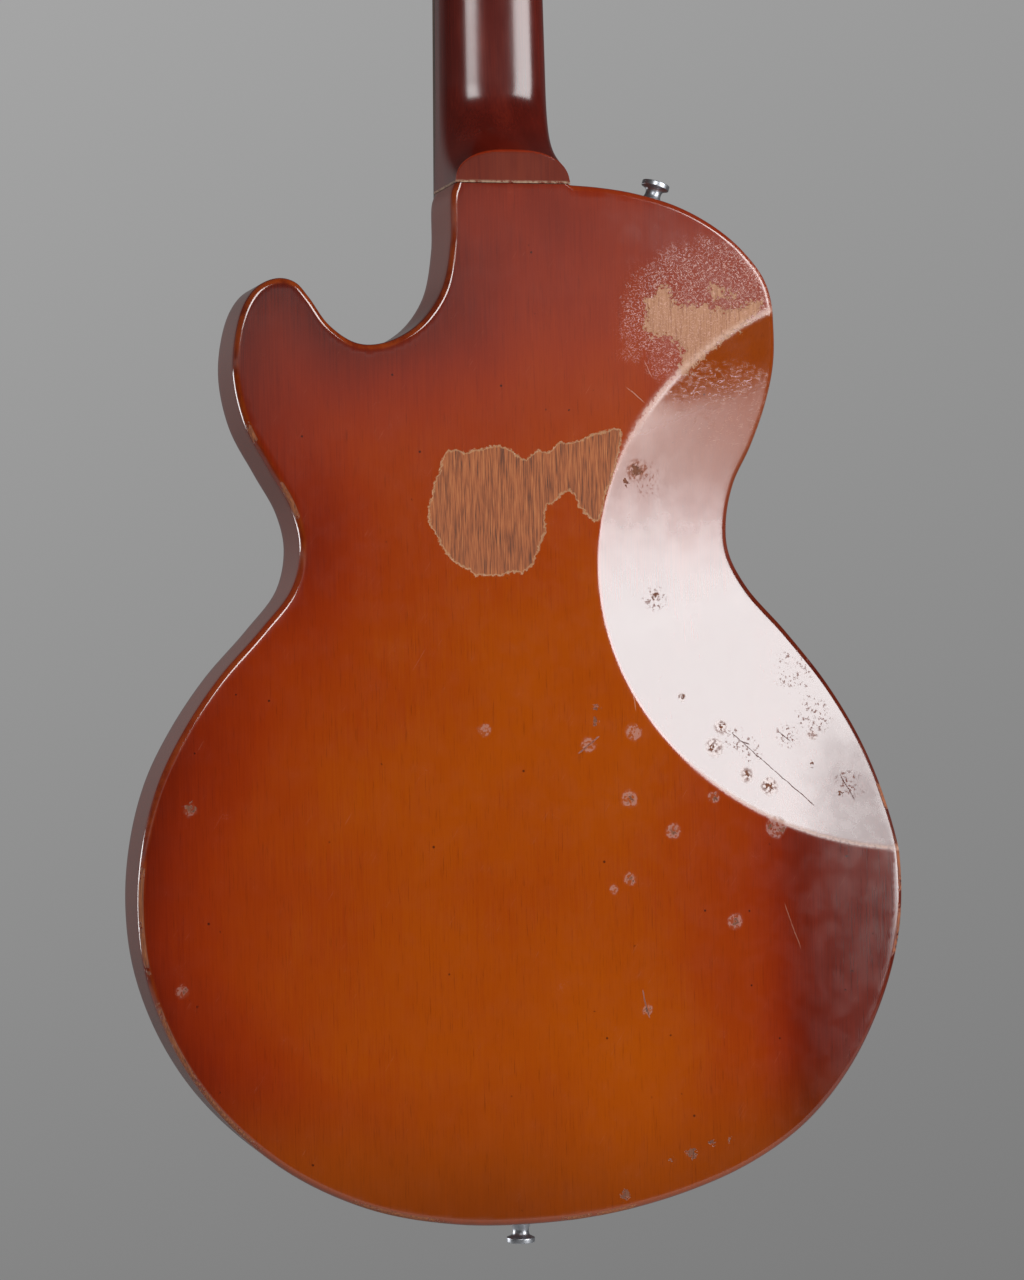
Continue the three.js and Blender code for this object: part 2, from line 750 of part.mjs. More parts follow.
function tunerGear() {
  const outline = [];
  const rootRadius = gearPitchRadius - toothDepth;
  const tipRadius = gearPitchRadius + toothHeight;
  for (let tooth = 0; tooth < gearTeeth; tooth++) {
    const middle = Math.PI / 2 + (2 * Math.PI * tooth) / gearTeeth;
    const tipHalf = gearToothTip / 2 / tipRadius;
    const rootHalf = gearToothRoot / 2 / rootRadius;
    const at = (radius, angle) =>
      outline.push(new THREE.Vector2(radius * Math.cos(angle), radius * Math.sin(angle)));
    at(rootRadius, middle - rootHalf);
    at(tipRadius, middle - tipHalf);
    at(tipRadius, middle + tipHalf);
    at(rootRadius, middle + rootHalf);
  }
  const wheel = plate(outline, gearFront, gearBack);
  return cut(wheel, rod(postTailRadius + fit, gearFront - overrun, gearBack + overrun, 12));
}

function tunerPost() {
  const top = veneerFront - postHeight;
  const waistStart = veneerFront - postWaistStart;
  const waistEnd = waistStart - postWaistLength;
  const slope = postRadius - postWaistRadius;
  const shoulder = headBack - fit;
  const profile = [
    [0, top],
    [postRadius, top],
    [postRadius, waistEnd - slope],
    [postWaistRadius, waistEnd],
    [postWaistRadius, waistStart],
    [postRadius, waistStart + slope],
    [postRadius, shoulder],
    [postTailRadius, shoulder],
    [postTailRadius, gearBack + fit],
    [postScrewRadius, gearBack + fit],
    [postScrewRadius, gearBack + fit + postScrewHeight],
    [0, gearBack + fit + postScrewHeight],
  ];
  const slot = block(
    [-postRadius - overrun, top - overrun, -screwdriverSlot],
    [postRadius + overrun, top + slotDepth * 2, screwdriverSlot],
  );
  return cut(turned(profile, 10), slot);
}

function tunerBushing() {
  const bore = postRadius + fit;
  const seat = veneerFront - fit;
  return turned(
    [
      [bore, bushingFront],
      [bushingFlangeRadius, bushingFront],
      [bushingFlangeRadius, seat],
      [bushingSleeveRadius, seat],
      [bushingSleeveRadius, seat + bushingDepth],
      [bore, seat + bushingDepth],
      [bore, bushingFront],
    ],
    12,
  );
}

bassStrings.forEach(({ note, side, postX, postZ }) => {
  const tuner = new THREE.Group();
  tuner.position.set(postX, 0, postZ);
  headstock.add(tuner);
  add(tuner, `tuner_plate_${note}`, tunerPlate(), finishes.nickel);
  add(tuner, `tuner_post_${note}`, tunerPost(), finishes.nickel);
  add(tuner, `tuner_gear_${note}`, tunerGear(), finishes.brass);
  add(tuner, `tuner_bushing_${note}`, tunerBushing(), finishes.nickel);
  add(tuner, `tuner_key_${note}`, tunerKey(side), finishes.nickel, [0, gearMiddle, wormDistance]);
});

// Body

const bodyOutline = (() => {
  const corners = [
    [heelHalf, seam],
    ...heelSideShares.map(besideHeel),
    ...outlineShares.map(onBody),
    [-heelHalf, seam],
  ];
  return smooth(corners, 2, false);
})();

// The body's edge below or above a place across it, found on the outline's own chords.
function edgeAt(x, lower) {
  const crossings = [];
  bodyOutline.forEach((a, i) => {
    const b = bodyOutline[(i + 1) % bodyOutline.length];
    if ((a.x - x) * (b.x - x) > 0 || a.x === b.x) return;
    const share = (x - a.x) / (b.x - a.x);
    crossings.push({ z: a.y + (b.y - a.y) * share, along: b.clone().sub(a).normalize() });
  });
  crossings.sort((a, b) => (lower ? a.z - b.z : b.z - a.z));
  return crossings[0];
}

const pickupZ = boardEnd - pickupGap - ringHalfHeight;
const bridgeZ = -scaleLength;
const bridgeFront = bridgeZ + bridgeFrontReach;
const bridgeTail = bridgeZ - bridgeTailReach;
const studZ = (bridgeFront + bridgeTail) / 2;
const studPlaces = [-1, 1].map((side) => [(side * studSpacing) / 2, 0, studZ]);
const controls = Object.fromEntries(
  Object.entries(controlShares).map(([name, shares]) => {
    const [x, z] = onBody(shares);
    return [name, [x, 0, z]];
  }),
);

// A strap button stands square to the body's edge at a place across the body.
const middleY = bodyThickness / 2;
const shoulderShare = -0.39;
const strapSeats = {
  shoulder: { x: shoulderShare * bodyHalfWidth, lower: false },
  tail: { x: 0, lower: true },
};
function strapGroup({ x, lower }) {
  const edge = edgeAt(x, lower);
  const outward = new THREE.Vector2(-edge.along.y, edge.along.x);
  if (outward.y < 0 !== lower) outward.negate();
  const group = new THREE.Group();
  group.position.set(x + outward.x * fit, middleY, edge.z + outward.y * fit);
  group.rotation.y = Math.atan2(outward.x, outward.y);
  group.updateMatrix();
  return group;
}
const strapGroups = Object.entries(strapSeats).map(([name, seat]) => [name, strapGroup(seat)]);
const screwSink = buttonHeight - buttonRecessDepth;

function bellyCut() {
  const share = overrun / bellyConeDepth;
  const profile = [
    [0, bodyThickness - bellyConeDepth],
    [1 + share, bodyThickness + overrun],
    [0, bodyThickness + overrun],
  ];
  const points = profile.map(([radius, along]) => new THREE.Vector2(radius, along));
  const cone = new THREE.LatheGeometry(points, 48)
    .scale(bellyHalfWidth, 1, bellyHalfHeight)
    .translate(bellyCentreX, 0, seam - bellyCentreDrop);
  return solid(cone);
}

function wireChannel() {
  const from = new THREE.Vector3(coverHalfWidth / 2, channelDepth, pickupZ);
  const to = new THREE.Vector3(controls.volume[0], channelDepth, controls.volume[2]);
  const way = to.clone().sub(from);
  return tube([from, from.clone().addScaledVector(way, 0.5), to], channelRadius, 8);
}

function body() {
  const slab = plate(bodyOutline, 0, bodyThickness, edgeRadius);
  const heelLand = block([-heelHalf, 0, seam - heelLandHeight], [heelHalf, bodyThickness, seam]);
  const tenonPocket = block(
    [-tenonWidth / 2 - fit, -overrun, seam - tenonLength - fit],
    [tenonWidth / 2 + fit, tenonDepth + fit, seam + overrun],
  );
  const cavityHalfX = coverHalfWidth + pickupCavityMargin;
  const cavityHalfZ = coverHalfHeight + pickupCavityMargin;
  const pickupCavity = block(
    [-cavityHalfX, -overrun, pickupZ - cavityHalfZ],
    [cavityHalfX, pickupCavityDepth, pickupZ + cavityHalfZ],
  );
  const controlCavity = plate(pairs(cavityShares.map(onBody)), -overrun, controlCavityDepth);
  const room = Object.entries(controls).map(([name, place]) => {
    const radius = (name === "jack" ? jackBodyRadius : potRadius) + cavityCrowding;
    return rod(radius, -overrun, controlCavityDepth, 16, "y", place);
  });
  const studHoles = studPlaces.map((place) =>
    rod(studBushingRadius + fit, -overrun, studBushingDepth + fit, 16, "y", place),
  );
  const strapHoles = strapGroups.map(([, group]) => {
    const hole = rod(strapScrewRadius + fit, -strapScrewLength, overrun, 10, "z");
    return solid(geometryOf(hole).applyMatrix4(group.matrix));
  });
  return cut(
    join(slab, heelLand),
    bellyCut(),
    tenonPocket,
    pickupCavity,
    controlCavity,
    ...room,
    wireChannel(),
    ...studHoles,
    ...strapHoles,
  );
}
add(bass, "body", body(), finishes.lacquer);

// Strap buttons and their screws
function strapButton() {
  const headBottom = buttonHeight - buttonRimHeight;
  const recess = strapScrewHeadRadius + fit;
  const bore = strapScrewRadius + fit;
  const flare = bellShares.map(([up, out]) => [
    buttonWaistRadius + (buttonHeadRadius - buttonWaistRadius) * out,
    up * buttonHeight,
  ]);
  return turned(
    [
      [bore, 0],
      [buttonBaseRadius, 0],
      ...flare,
      [buttonHeadRadius, headBottom],
      [buttonHeadRadius, buttonHeight],
      [recess, buttonHeight],
      [recess, screwSink],
      [bore, screwSink],
      [bore, 0],
    ],
    16,
    "z",
  );
}
function strapScrew() {
  const seat = screwSink + fit;
  return turned(
    [
      [0, seat + strapScrewHeadHeight],
      [strapScrewHeadRadius, seat + strapScrewHeadHeight],
      [strapScrewHeadRadius, seat],
      [strapScrewRadius, seat],
      [strapScrewRadius, seat - strapScrewLength],
      [0, seat - strapScrewLength - strapScrewRadius],
    ],
    12,
    "z",
  );
}
strapGroups.forEach(([name, group]) => {
  bass.add(group);
  add(group, `${name}_strap_button`, strapButton(), finishes.aluminium);
  add(group, `${name}_strap_screw`, strapScrew(), finishes.steel);
});

// Bridge

const floorTop = -bridgeLift - bridgeFloor;
const screwY = -screwHeight;
const saddleFoot = floorTop - fit;

function bridge() {
  const outer = bridgeHalfWidth;
  const inner = outer - bridgeWall;
  const tray = block(
    [-outer, -bridgeTailHeight, bridgeTail],
    [outer, -bridgeLift, bridgeFront],
  );
  const hollow = block(
    [-inner, -bridgeTailHeight - overrun, bridgeTail + bridgeTailWall],
    [inner, floorTop, bridgeFront - bridgeWall],
  );
  const lowWalls = block(
    [-outer - overrun, -bridgeTailHeight - overrun, bridgeTail + bridgeTailWall],
    [outer + overrun, -bridgeFrontHeight, bridgeFront + overrun],
  );
  const reach = outer + earReach;
  const ears = block(
    [-reach, -bridgeLift - earThickness, studZ - earHalfLength],
    [reach, -bridgeLift, studZ + earHalfLength],
  );
  const earsOutside = cut(ears, hollow);
  const studSlots = studPlaces.map(([x, , z]) => {
    const radius = studNeckRadius + fit;
    const round = rod(radius, -bridgeTailHeight, 0, 16, "y", [x, 0, z]);
    const mouth = block([x - radius, -bridgeTailHeight, z], [x + radius, 0, z + earHalfLength * 2]);
    return join(round, mouth);
  });
  const stringHoles = bassStrings.map((string) => {
    const { x, y } = stringPoint(string, bridgeTail);
    const through = [bridgeTail - overrun, bridgeTail + bridgeTailWall + overrun];
    return rod(string.radius + fit, ...through, 12, "z", [x, y + tailDrop, 0]);
  });
  const screwHoles = bassStrings.map(({ bridgeX }) =>
    rod(screwRadius + fit, bridgeTail - overrun, bridgeFront + overrun, 10, "z", [
      bridgeX + screwOffset,
      screwY,
      0,
    ]),
  );
  return cut(
    join(cut(tray, hollow, lowWalls), earsOutside),
    ...studSlots,
    ...stringHoles,
    ...screwHoles,
  );
}
add(bass, "bridge", bridge(), finishes.nickel);

// A saddle, with its string groove and the bore for its screw
function saddle(string) {
  const half = saddleLength / 2;
  const under = string.bridgeY + string.radius;
  const crest = under - saddleGrip;
  const flat = half / 5;
  const outline = [
    [-half, saddleFoot],
    [half, saddleFoot],
    [half, (saddleFoot + under) / 2 - saddleGrip],
    [flat, crest],
    [-flat, crest],
    [-half, (saddleFoot + under) / 2 - saddleGrip],
  ];
  const shape = bar(outline, -saddleWidth / 2, saddleWidth / 2);
  const groove = rod(string.radius + fit, -saddleLength, saddleLength, 12, "z", [0, string.bridgeY, 0]);
  const open = block(
    [-string.radius - fit, crest - overrun, -saddleLength],
    [string.radius + fit, string.bridgeY, saddleLength],
  );
  const bore = rod(screwRadius + fit, -saddleLength, saddleLength, 10, "z", [screwOffset, screwY, 0]);
  return cut(shape, groove, open, bore);
}
function intonationScrew() {
  const head = bridgeTail - fit;
  const profile = [
    [0, bridgeFront],
    [screwRadius, bridgeFront],
    [screwRadius, head],
    [screwHeadRadius, head],
    [screwHeadRadius, head - screwHeadHeight],
    [0, head - screwHeadHeight],
  ];
  const slot = block(
    [-screwHeadRadius - overrun, -screwdriverSlot / 2, head - screwHeadHeight - overrun],
    [screwHeadRadius + overrun, screwdriverSlot / 2, head - screwHeadHeight + slotDepth],
  );
  return cut(turned(profile, 10, "z"), slot);
}
bassStrings.forEach((string) => {
  const { note, bridgeX } = string;
  add(bass, `saddle_${note}`, saddle(string), finishes.brass, [bridgeX, 0, bridgeZ]);
  const screw = intonationScrew();
  add(bass, `intonation_screw_${note}`, screw, finishes.steel, [bridgeX + screwOffset, screwY, 0]);
});

// Studs that carry the bridge, and their bushings
function bridgeStud() {
  const collarFoot = -studBushingFlangeHeight - fit;
  const collarTop = collarFoot - studCollarHeight;
  const headFoot = -bridgeLift - earThickness - fit;
  const headTop = headFoot - studHeadHeight;
  const made = turned(
    [
      [0, studDepth],
      [studShankRadius, studDepth],
      [studShankRadius, collarFoot],
      [studCollarRadius, collarFoot],
      [studCollarRadius, collarTop],
      [studNeckRadius, collarTop],
      [studNeckRadius, headFoot],
      [studHeadRadius, headFoot],
      [studHeadRadius, headTop],
      [0, headTop],
    ],
    16,
  );
  const slot = block(
    [-studHeadRadius - overrun, headTop - overrun, -screwdriverSlot / 2],
    [studHeadRadius + overrun, headTop + slotDepth, screwdriverSlot / 2],
  );
  return cut(made, slot);
}
function studBushing() {
  const bore = studShankRadius + fit;
  return turned(
    [
      [bore, -studBushingFlangeHeight],
      [studBushingFlangeRadius, -studBushingFlangeHeight],
      [studBushingFlangeRadius, 0],
      [studBushingRadius, 0],
      [studBushingRadius, studBushingDepth],
      [bore, studBushingDepth],
      [bore, -studBushingFlangeHeight],
    ],
    12,
  );
}
studPlaces.forEach((place, i) => {
  const sideName = i ? "treble" : "bass";
  add(bass, `bridge_stud_${sideName}`, bridgeStud(), finishes.nickel, place);
  add(bass, `stud_bushing_${sideName}`, studBushing(), finishes.brass, place);
});

// Pickup: ring, cover and coil

const poles = bassStrings.map((string) => stringPoint(string, pickupZ).x);
function pickupRing() {
  const plain = block(
    [-ringHalfWidth, -ringThickness, pickupZ - ringHalfHeight],
    [ringHalfWidth, 0, pickupZ + ringHalfHeight],
  );
  const opening = block(
    [-coverHalfWidth - fit, -ringThickness - overrun, pickupZ - coverHalfHeight - fit],
    [coverHalfWidth + fit, overrun, pickupZ + coverHalfHeight + fit],
  );
  return cut(plain, opening);
}
function pickupCover() {
  const wall = pickupWall;
  const shell = block(
    [-coverHalfWidth, -pickupHeight, pickupZ - coverHalfHeight],
    [coverHalfWidth, pickupDepth, pickupZ + coverHalfHeight],
  );
  const inside = block(
    [-coverHalfWidth + wall, -pickupHeight + wall, pickupZ - coverHalfHeight + wall],
    [coverHalfWidth - wall, pickupDepth + overrun, pickupZ + coverHalfHeight - wall],
  );
  const holes = poles.map((x) =>
    rod(poleRadius + fit, -pickupHeight - overrun, 0, 12, "y", [x, 0, pickupZ]),
  );
  return cut(shell, inside, ...holes);
}
function pickupCoil() {
  const room = pickupWall + fit;
  const coil = block(
    [-coverHalfWidth + room, -pickupHeight + room, pickupZ - coverHalfHeight + room],
    [coverHalfWidth - room, pickupDepth + fit + basePlateThickness, pickupZ + coverHalfHeight - room],
  );
  const basePlate = block(
    [-basePlateHalfWidth, pickupDepth + fit, pickupZ - basePlateHalfHeight],
    [basePlateHalfWidth, pickupDepth + fit + basePlateThickness, pickupZ + basePlateHalfHeight],
  );
  const magnets = poles.map((x) =>
    rod(poleRadius, -pickupHeight - poleRise, 0, 12, "y", [x, 0, pickupZ]),
  );
  return join(coil, basePlate, ...magnets);
}
add(bass, "pickup_ring", pickupRing(), finishes.black);
add(bass, "pickup_cover", pickupCover(), finishes.nickel);
add(bass, "pickup_coil", pickupCoil(), finishes.black);

// Pickguard

function pickguard() {
  const whole = plate(smooth(guardShares.map(onBody), 2, true), -guardThickness, 0);
  const clear = guardClearance;
  const ringRoom = block(
    [-ringHalfWidth - clear, -overrun, pickupZ - ringHalfHeight - clear],
    [ringHalfWidth + clear, overrun, pickupZ + ringHalfHeight + clear],
  );
  const bridgeRoom = block(
    [-bodyHalfWidth, -overrun, bridgeTail - clear],
    [bridgeHalfWidth + earReach + clear, overrun, bridgeFront + clear],
  );
  const boardHalf = widthAt(boardEnd) / 2 + clear;
  const boardRoom = block([-boardHalf, -overrun, boardEnd - clear], [boardHalf, overrun, 0]);
  const holes = Object.values(controls).map((place) =>
    rod(potBushingRadius + fit, -overrun, overrun, 16, "y", place),
  );
  return cut(whole, ringRoom, bridgeRoom, boardRoom, ...holes);
}
add(bass, "pickguard", pickguard(), finishes.black);

// Pots, their shafts and knobs, and the jack

const panelTop = -guardThickness - fit;
function potHousing() {
  const can = rod(potRadius, fit, fit + potHeight, 16);
  const bushing = rod(potBushingRadius, panelTop - potBushingRise, fit + potHeight / 2, 16);
  const nutRing = rod(panelNutRadius, panelTop - panelNutHeight, panelTop, 6);
  const bore = rod(shaftRadius + fit, -overrun * 2 - potBushingRise, potHeight - shaftTail, 12);
  return cut(join(can, bushing, nutRing), bore);
}
const knobFoot = panelTop - knobLift;
const knobTop = knobFoot - knobHeight;
const shaftTop = knobTop + knobCrown;
function potShaft() {
  return rod(shaftRadius, shaftTop, potHeight - shaftTail - fit, 12);
}
function knob() {
  return turned(
    [
      [shaftRadius + fit, knobFoot - knobRecessDepth],
      [knobRecessRadius, knobFoot - knobRecessDepth],
      [knobRecessRadius, knobFoot],
      [knobRadius, knobFoot],
      [knobRadius, knobFoot - knobRecessDepth],
      [knobTopRadius, knobTop + fit],
      [knobTopRadius - fit, knobTop],
      [0, knobTop],
      [0, shaftTop - fit],
      [shaftRadius + fit, shaftTop - fit],
      [shaftRadius + fit, knobFoot - knobRecessDepth],
    ],
    18,
  );
}
function jack() {
  const barrel = rod(potBushingRadius, panelTop - potBushingRise, fit + jackDepth / 2, 16);
  const socket = rod(jackBodyRadius, fit, fit + jackDepth, 16);
  const nutRing = rod(jackNutRadius, panelTop - panelNutHeight, panelTop, 6);
  const bore = rod(jackBoreRadius, -overrun * 2 - potBushingRise, jackBoreDepth, 12);
  return cut(join(barrel, socket, nutRing), bore);
}
["volume", "tone"].forEach((name) => {
  add(bass, `${name}_pot`, potHousing(), finishes.steel, controls[name]);
  add(bass, `${name}_shaft`, potShaft(), finishes.aluminium, controls[name]);
  add(bass, `${name}_knob`, knob(), finishes.black, controls[name]);
});
add(bass, "output_jack", jack(), finishes.nickel, controls.jack);

// Strings, each in one piece from its ball end behind the bridge to its winding on the post

function stringPath(string) {
  const tail = stringPoint(string, bridgeTail);
  const ballZ = bridgeTail - fit - ballRadius;
  const bend = stringPoint(string, bridgeZ - saddleTravel - bendMargin);
  const path = [
    new THREE.Vector3(tail.x, tail.y + tailDrop, ballZ),
    new THREE.Vector3(tail.x, tail.y + tailDrop, bridgeTail + bridgeTailWall),
    bend,
    stringPoint(string, 0),
    new THREE.Vector3(string.nutX, string.nutY, nutThickness),
  ];
  const start = path.at(-1).clone().applyMatrix4(headstock.matrix.clone().invert());
  const { side, postX, postZ, radius } = string;
  const reach = postWaistRadius + fit + radius;
  const across = side * (postX - start.x);
  const along = postZ - start.z;
  const first = Math.atan2(across, along) - Math.asin(reach / Math.hypot(across, along));
  const lowest = veneerFront - postWaistStart - fit - radius;
  const climb = 2 * radius + windingGap;
  const stepsPerTurn = 20;
  const winding = [];
  for (let i = 0; i <= windingTurns * stepsPerTurn; i++) {
    const turn = i / stepsPerTurn;
    const angle = first + 2 * Math.PI * turn;
    winding.push(
      new THREE.Vector3(
        postX - side * reach * Math.cos(angle),
        lowest - climb * turn,
        postZ + reach * Math.sin(angle),
      ),
    );
  }
  const end = winding.at(-1).clone();
  const before = winding.at(-2);
  winding.push(end.clone().add(end.clone().sub(before).setLength(2 * radius)));
  return { path: [...path, ...winding.map((p) => p.applyMatrix4(headstock.matrix))], winding };
}

// The least gap between turns of one winding, measured between points at least half a turn apart.
function leastGap(winding, radius) {
  const half = 10;
  let least = Infinity;
  winding.forEach((a, i) => {
    winding.slice(i + half).forEach((b) => {
      least = Math.min(least, a.distanceTo(b) - 2 * radius);
    });
  });
  return least;
}

function bassString(string) {
  const { path, winding } = stringPath(string);
  const gap = leastGap(winding, string.radius).toFixed(2);
  console.log(`string_${string.note}: least gap in its winding ${gap} mm`);
  const ball = rod(ballRadius, -ballLength / 2, ballLength / 2, 12, "x", path[0].toArray());
  return join(tube(path, string.radius, 6), ball);
}
bassStrings.forEach((string) => {
  add(bass, `string_${string.note}`, bassString(string), finishes.winding);
});

export default bass;
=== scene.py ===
# %% [markdown]
# A short-scale electric bass guitar, seen from behind. The CAD model gives the frame: every length
# below is in the same millimetres and stands in the same place as there. This lesson dresses that
# frame with smooth skins, worn lacquer, fretwork and hardware, one kind of piece at a time.

# %% Load the frame
import json
import math
from functools import partial
import bmesh
import bpy
import numpy as np
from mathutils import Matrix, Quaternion, Vector
from mathutils.geometry import delaunay_2d_cdt

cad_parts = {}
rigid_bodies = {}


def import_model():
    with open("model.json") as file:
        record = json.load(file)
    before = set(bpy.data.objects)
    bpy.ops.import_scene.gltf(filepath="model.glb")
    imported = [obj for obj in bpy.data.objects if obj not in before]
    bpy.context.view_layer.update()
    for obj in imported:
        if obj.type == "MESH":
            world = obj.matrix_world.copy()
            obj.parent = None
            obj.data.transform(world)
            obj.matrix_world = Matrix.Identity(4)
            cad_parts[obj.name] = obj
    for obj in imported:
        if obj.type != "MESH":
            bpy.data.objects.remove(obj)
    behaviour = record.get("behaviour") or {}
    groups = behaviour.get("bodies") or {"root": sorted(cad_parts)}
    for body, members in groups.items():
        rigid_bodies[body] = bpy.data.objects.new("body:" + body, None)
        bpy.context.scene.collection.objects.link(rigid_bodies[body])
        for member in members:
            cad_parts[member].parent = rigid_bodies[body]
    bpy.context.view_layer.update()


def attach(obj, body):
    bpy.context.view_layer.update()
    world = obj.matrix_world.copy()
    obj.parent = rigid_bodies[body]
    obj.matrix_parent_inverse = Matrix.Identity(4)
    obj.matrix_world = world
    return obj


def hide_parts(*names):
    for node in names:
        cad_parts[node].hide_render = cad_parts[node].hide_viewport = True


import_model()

MM = 0.001
scene = bpy.context.scene

# %% [markdown]
# The photograph was taken from behind, a little to the treble side and level with the waist. The
# perspective between the body's two faces gives the distance and the angle: a long lens, far off.

# %% Camera
LENS_PIXELS = 3490.0
PICTURE_HEIGHT = 1280
SENSOR = 36.0
AIM = np.array([4.55, 42.0, -669.5])
CAMERA_DISTANCE = 1545.0
SIDE_ANGLE = math.atan(908 / LENS_PIXELS)
CAMERA_ROLL = math.radians(1.06)

camera_data = bpy.data.cameras.new("camera")
camera_data.sensor_width = SENSOR
camera_data.lens = LENS_PIXELS / PICTURE_HEIGHT * SENSOR
camera = bpy.data.objects.new("camera", camera_data)
scene.collection.objects.link(camera)
scene.camera = camera
toward_camera = np.array([math.sin(SIDE_ANGLE), math.cos(SIDE_ANGLE), 0.0])
sight = Vector(-toward_camera)
camera.location = (AIM + CAMERA_DISTANCE * toward_camera) * MM
camera.rotation_mode = "QUATERNION"
camera.rotation_quaternion = Quaternion(sight, CAMERA_ROLL) @ sight.to_track_quat("-Z", "Y")
print("camera at", tuple(round(v, 3) for v in camera.location))

# %% [markdown]
# Three small tools make every mesh. One turns arrays of points and faces into a mesh, one resamples
# a smooth curve through a few given points, and one joins rings of points into a skin. They
# work on whole arrays, because a loop over vertices in Python would be slow.

# %% Curves
def smooth_curve(points, steps, closed=False):
    """Centripetal Catmull-Rom curve: on each span, a cubic whose end slopes come from the four
    neighbouring points, weighted by the square root of the distances between them."""
    p = np.asarray(points, float)
    if closed:
        q = np.vstack([p[-1:], p, p[:2]])
    else:
        q = np.vstack([2 * p[0] - p[1], p, 2 * p[-1] - p[-2]])
    a, b, c, d = q[:-3], q[1:-2], q[2:-1], q[3:]
    near = [np.sqrt(np.linalg.norm(v - u, axis=1, keepdims=True)) for u, v in ((a, b), (b, c), (c, d))]
    first = ((b - a) / near[0] - (c - a) / (near[0] + near[1])) * near[1] + (c - b)
    second = (c - b) + ((d - c) / near[2] - (d - b) / (near[1] + near[2])) * near[1]
    t = (np.arange(steps) / steps)[None, :, None]
    b, c, first, second = (v[:, None, :] for v in (b, c, first, second))
    made = b + first * t + (3 * (c - b) - 2 * first - second) * t**2 + (2 * (b - c) + first + second) * t**3
    made = made.reshape(-1, p.shape[1])
    return made if closed else np.vstack([made, p[-1:]])


def evenly(path, spacing):
    """The same path with points at equal distances along it, close to the given spacing."""
    along = np.concatenate([[0], np.cumsum(np.linalg.norm(np.diff(path, axis=0), axis=1))])
    count = max(2, int(round(along[-1] / spacing)) + 1)
    places = np.linspace(0, along[-1], count)
    return np.column_stack([np.interp(places, along, path[:, k]) for k in range(path.shape[1])])


# %% Meshes
def piece(name, points, faces, finish, slot, body="instrument", stands_for=(), crease=30):
    """A mesh object from points (n, 3) in millimetres and a list of face arrays (m, corners). Doubles
    are merged, normals point outwards and edges sharper than the crease stay sharp."""
    faces = [np.asarray(f) for f in faces if len(f)]
    corners = np.concatenate([f.ravel() for f in faces])
    sizes = np.concatenate([np.full(len(f), f.shape[1]) for f in faces])
    mesh = bpy.data.meshes.new(name)
    mesh.vertices.add(len(points))
    mesh.vertices.foreach_set("co", (np.asarray(points, float) * MM).ravel())
    mesh.loops.add(len(corners))
    mesh.loops.foreach_set("vertex_index", corners)
    mesh.polygons.add(len(sizes))
    mesh.polygons.foreach_set("loop_start", np.concatenate([[0], np.cumsum(sizes)[:-1]]))
    mesh.update(calc_edges=True)
    mesh.validate()
    work = bmesh.new()
    work.from_mesh(mesh)
    bmesh.ops.remove_doubles(work, verts=work.verts, dist=2e-6)
    bmesh.ops.recalc_face_normals(work, faces=work.faces)
    work.to_mesh(mesh)
    work.free()
    mesh.shade_smooth()
    mesh.set_sharp_from_angle(angle=math.radians(crease))
    mesh.materials.append(finish)
    made = bpy.data.objects.new(name, mesh)
    scene.collection.objects.link(made)
    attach(made, body)
    if stands_for:
        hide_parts(*stands_for)
    return made


def ring_faces(rows, count, closed=True):
    """Four-cornered faces between neighbouring rows of points, each row with the same count."""
    a = np.arange(rows - 1)[:, None] * count + np.arange(count if closed else count - 1)[None, :]
    step = np.where(np.arange(count) == count - 1, 1 - count, 1)[: a.shape[1]]
    b = a + step[None, :]
    return np.stack([a, b, b + count, a + count], -1).reshape(-1, 4)


def skin(rings):
    """Points and faces of a closed tube through rings (rows, count, 3), with a flat cap at each end."""
    rows, count = rings.shape[:2]
    caps = [np.arange(count)[None, ::-1], (rows - 1) * count + np.arange(count)[None, :]]
    return rings.reshape(-1, 3), [ring_faces(rows, count), *caps]


def joined(*shells):
    """Several sets of points and faces as one."""
    points, faces, start = [], [], 0
    for shell_points, shell_faces in shells:
        points.append(shell_points)
        faces.extend(np.asarray(f) + start for f in shell_faces)
        start += len(shell_points)
    return np.vstack(points), faces


def at_level(outline, level):
    """An outline (x, z) as points in space, at one level of y or at one level each."""
    return np.column_stack([outline[:, 0], np.broadcast_to(level, len(outline)), outline[:, 1]])


def upright(outline, front, back):
    """A wall along a closed outline, from one level of y to another."""
    rows = np.array([at_level(outline, level) for level in (front, back)])
    return rows.reshape(-1, 3), [ring_faces(2, len(outline))]


# %% [markdown]
# Flat faces with an irregular outline, such as the body's back, are filled with a Delaunay
# triangulation. Extra points inside keep its triangles small and even, so that a curved surface or
# a painted field can be laid over them.

# %% Filled outlines
def inside(points, outline):
    """Even-odd rule: a point is inside when a line from it crosses the outline an odd number of times."""
    a, b = outline, np.roll(outline, -1, axis=0)
    found = np.zeros(len(points), bool)
    for part in np.array_split(np.arange(len(points)), max(1, len(points) // 4000)):
        x, y = points[part, :1], points[part, 1:]
        spans = (a[:, 1] > y) != (b[:, 1] > y)
        with np.errstate(divide="ignore", invalid="ignore"):
            crossing = a[:, 0] + (y - a[:, 1]) * (b[:, 0] - a[:, 0]) / (b[:, 1] - a[:, 1])
        found[part] = (spans & (x < crossing)).sum(1) % 2 == 1
    return found


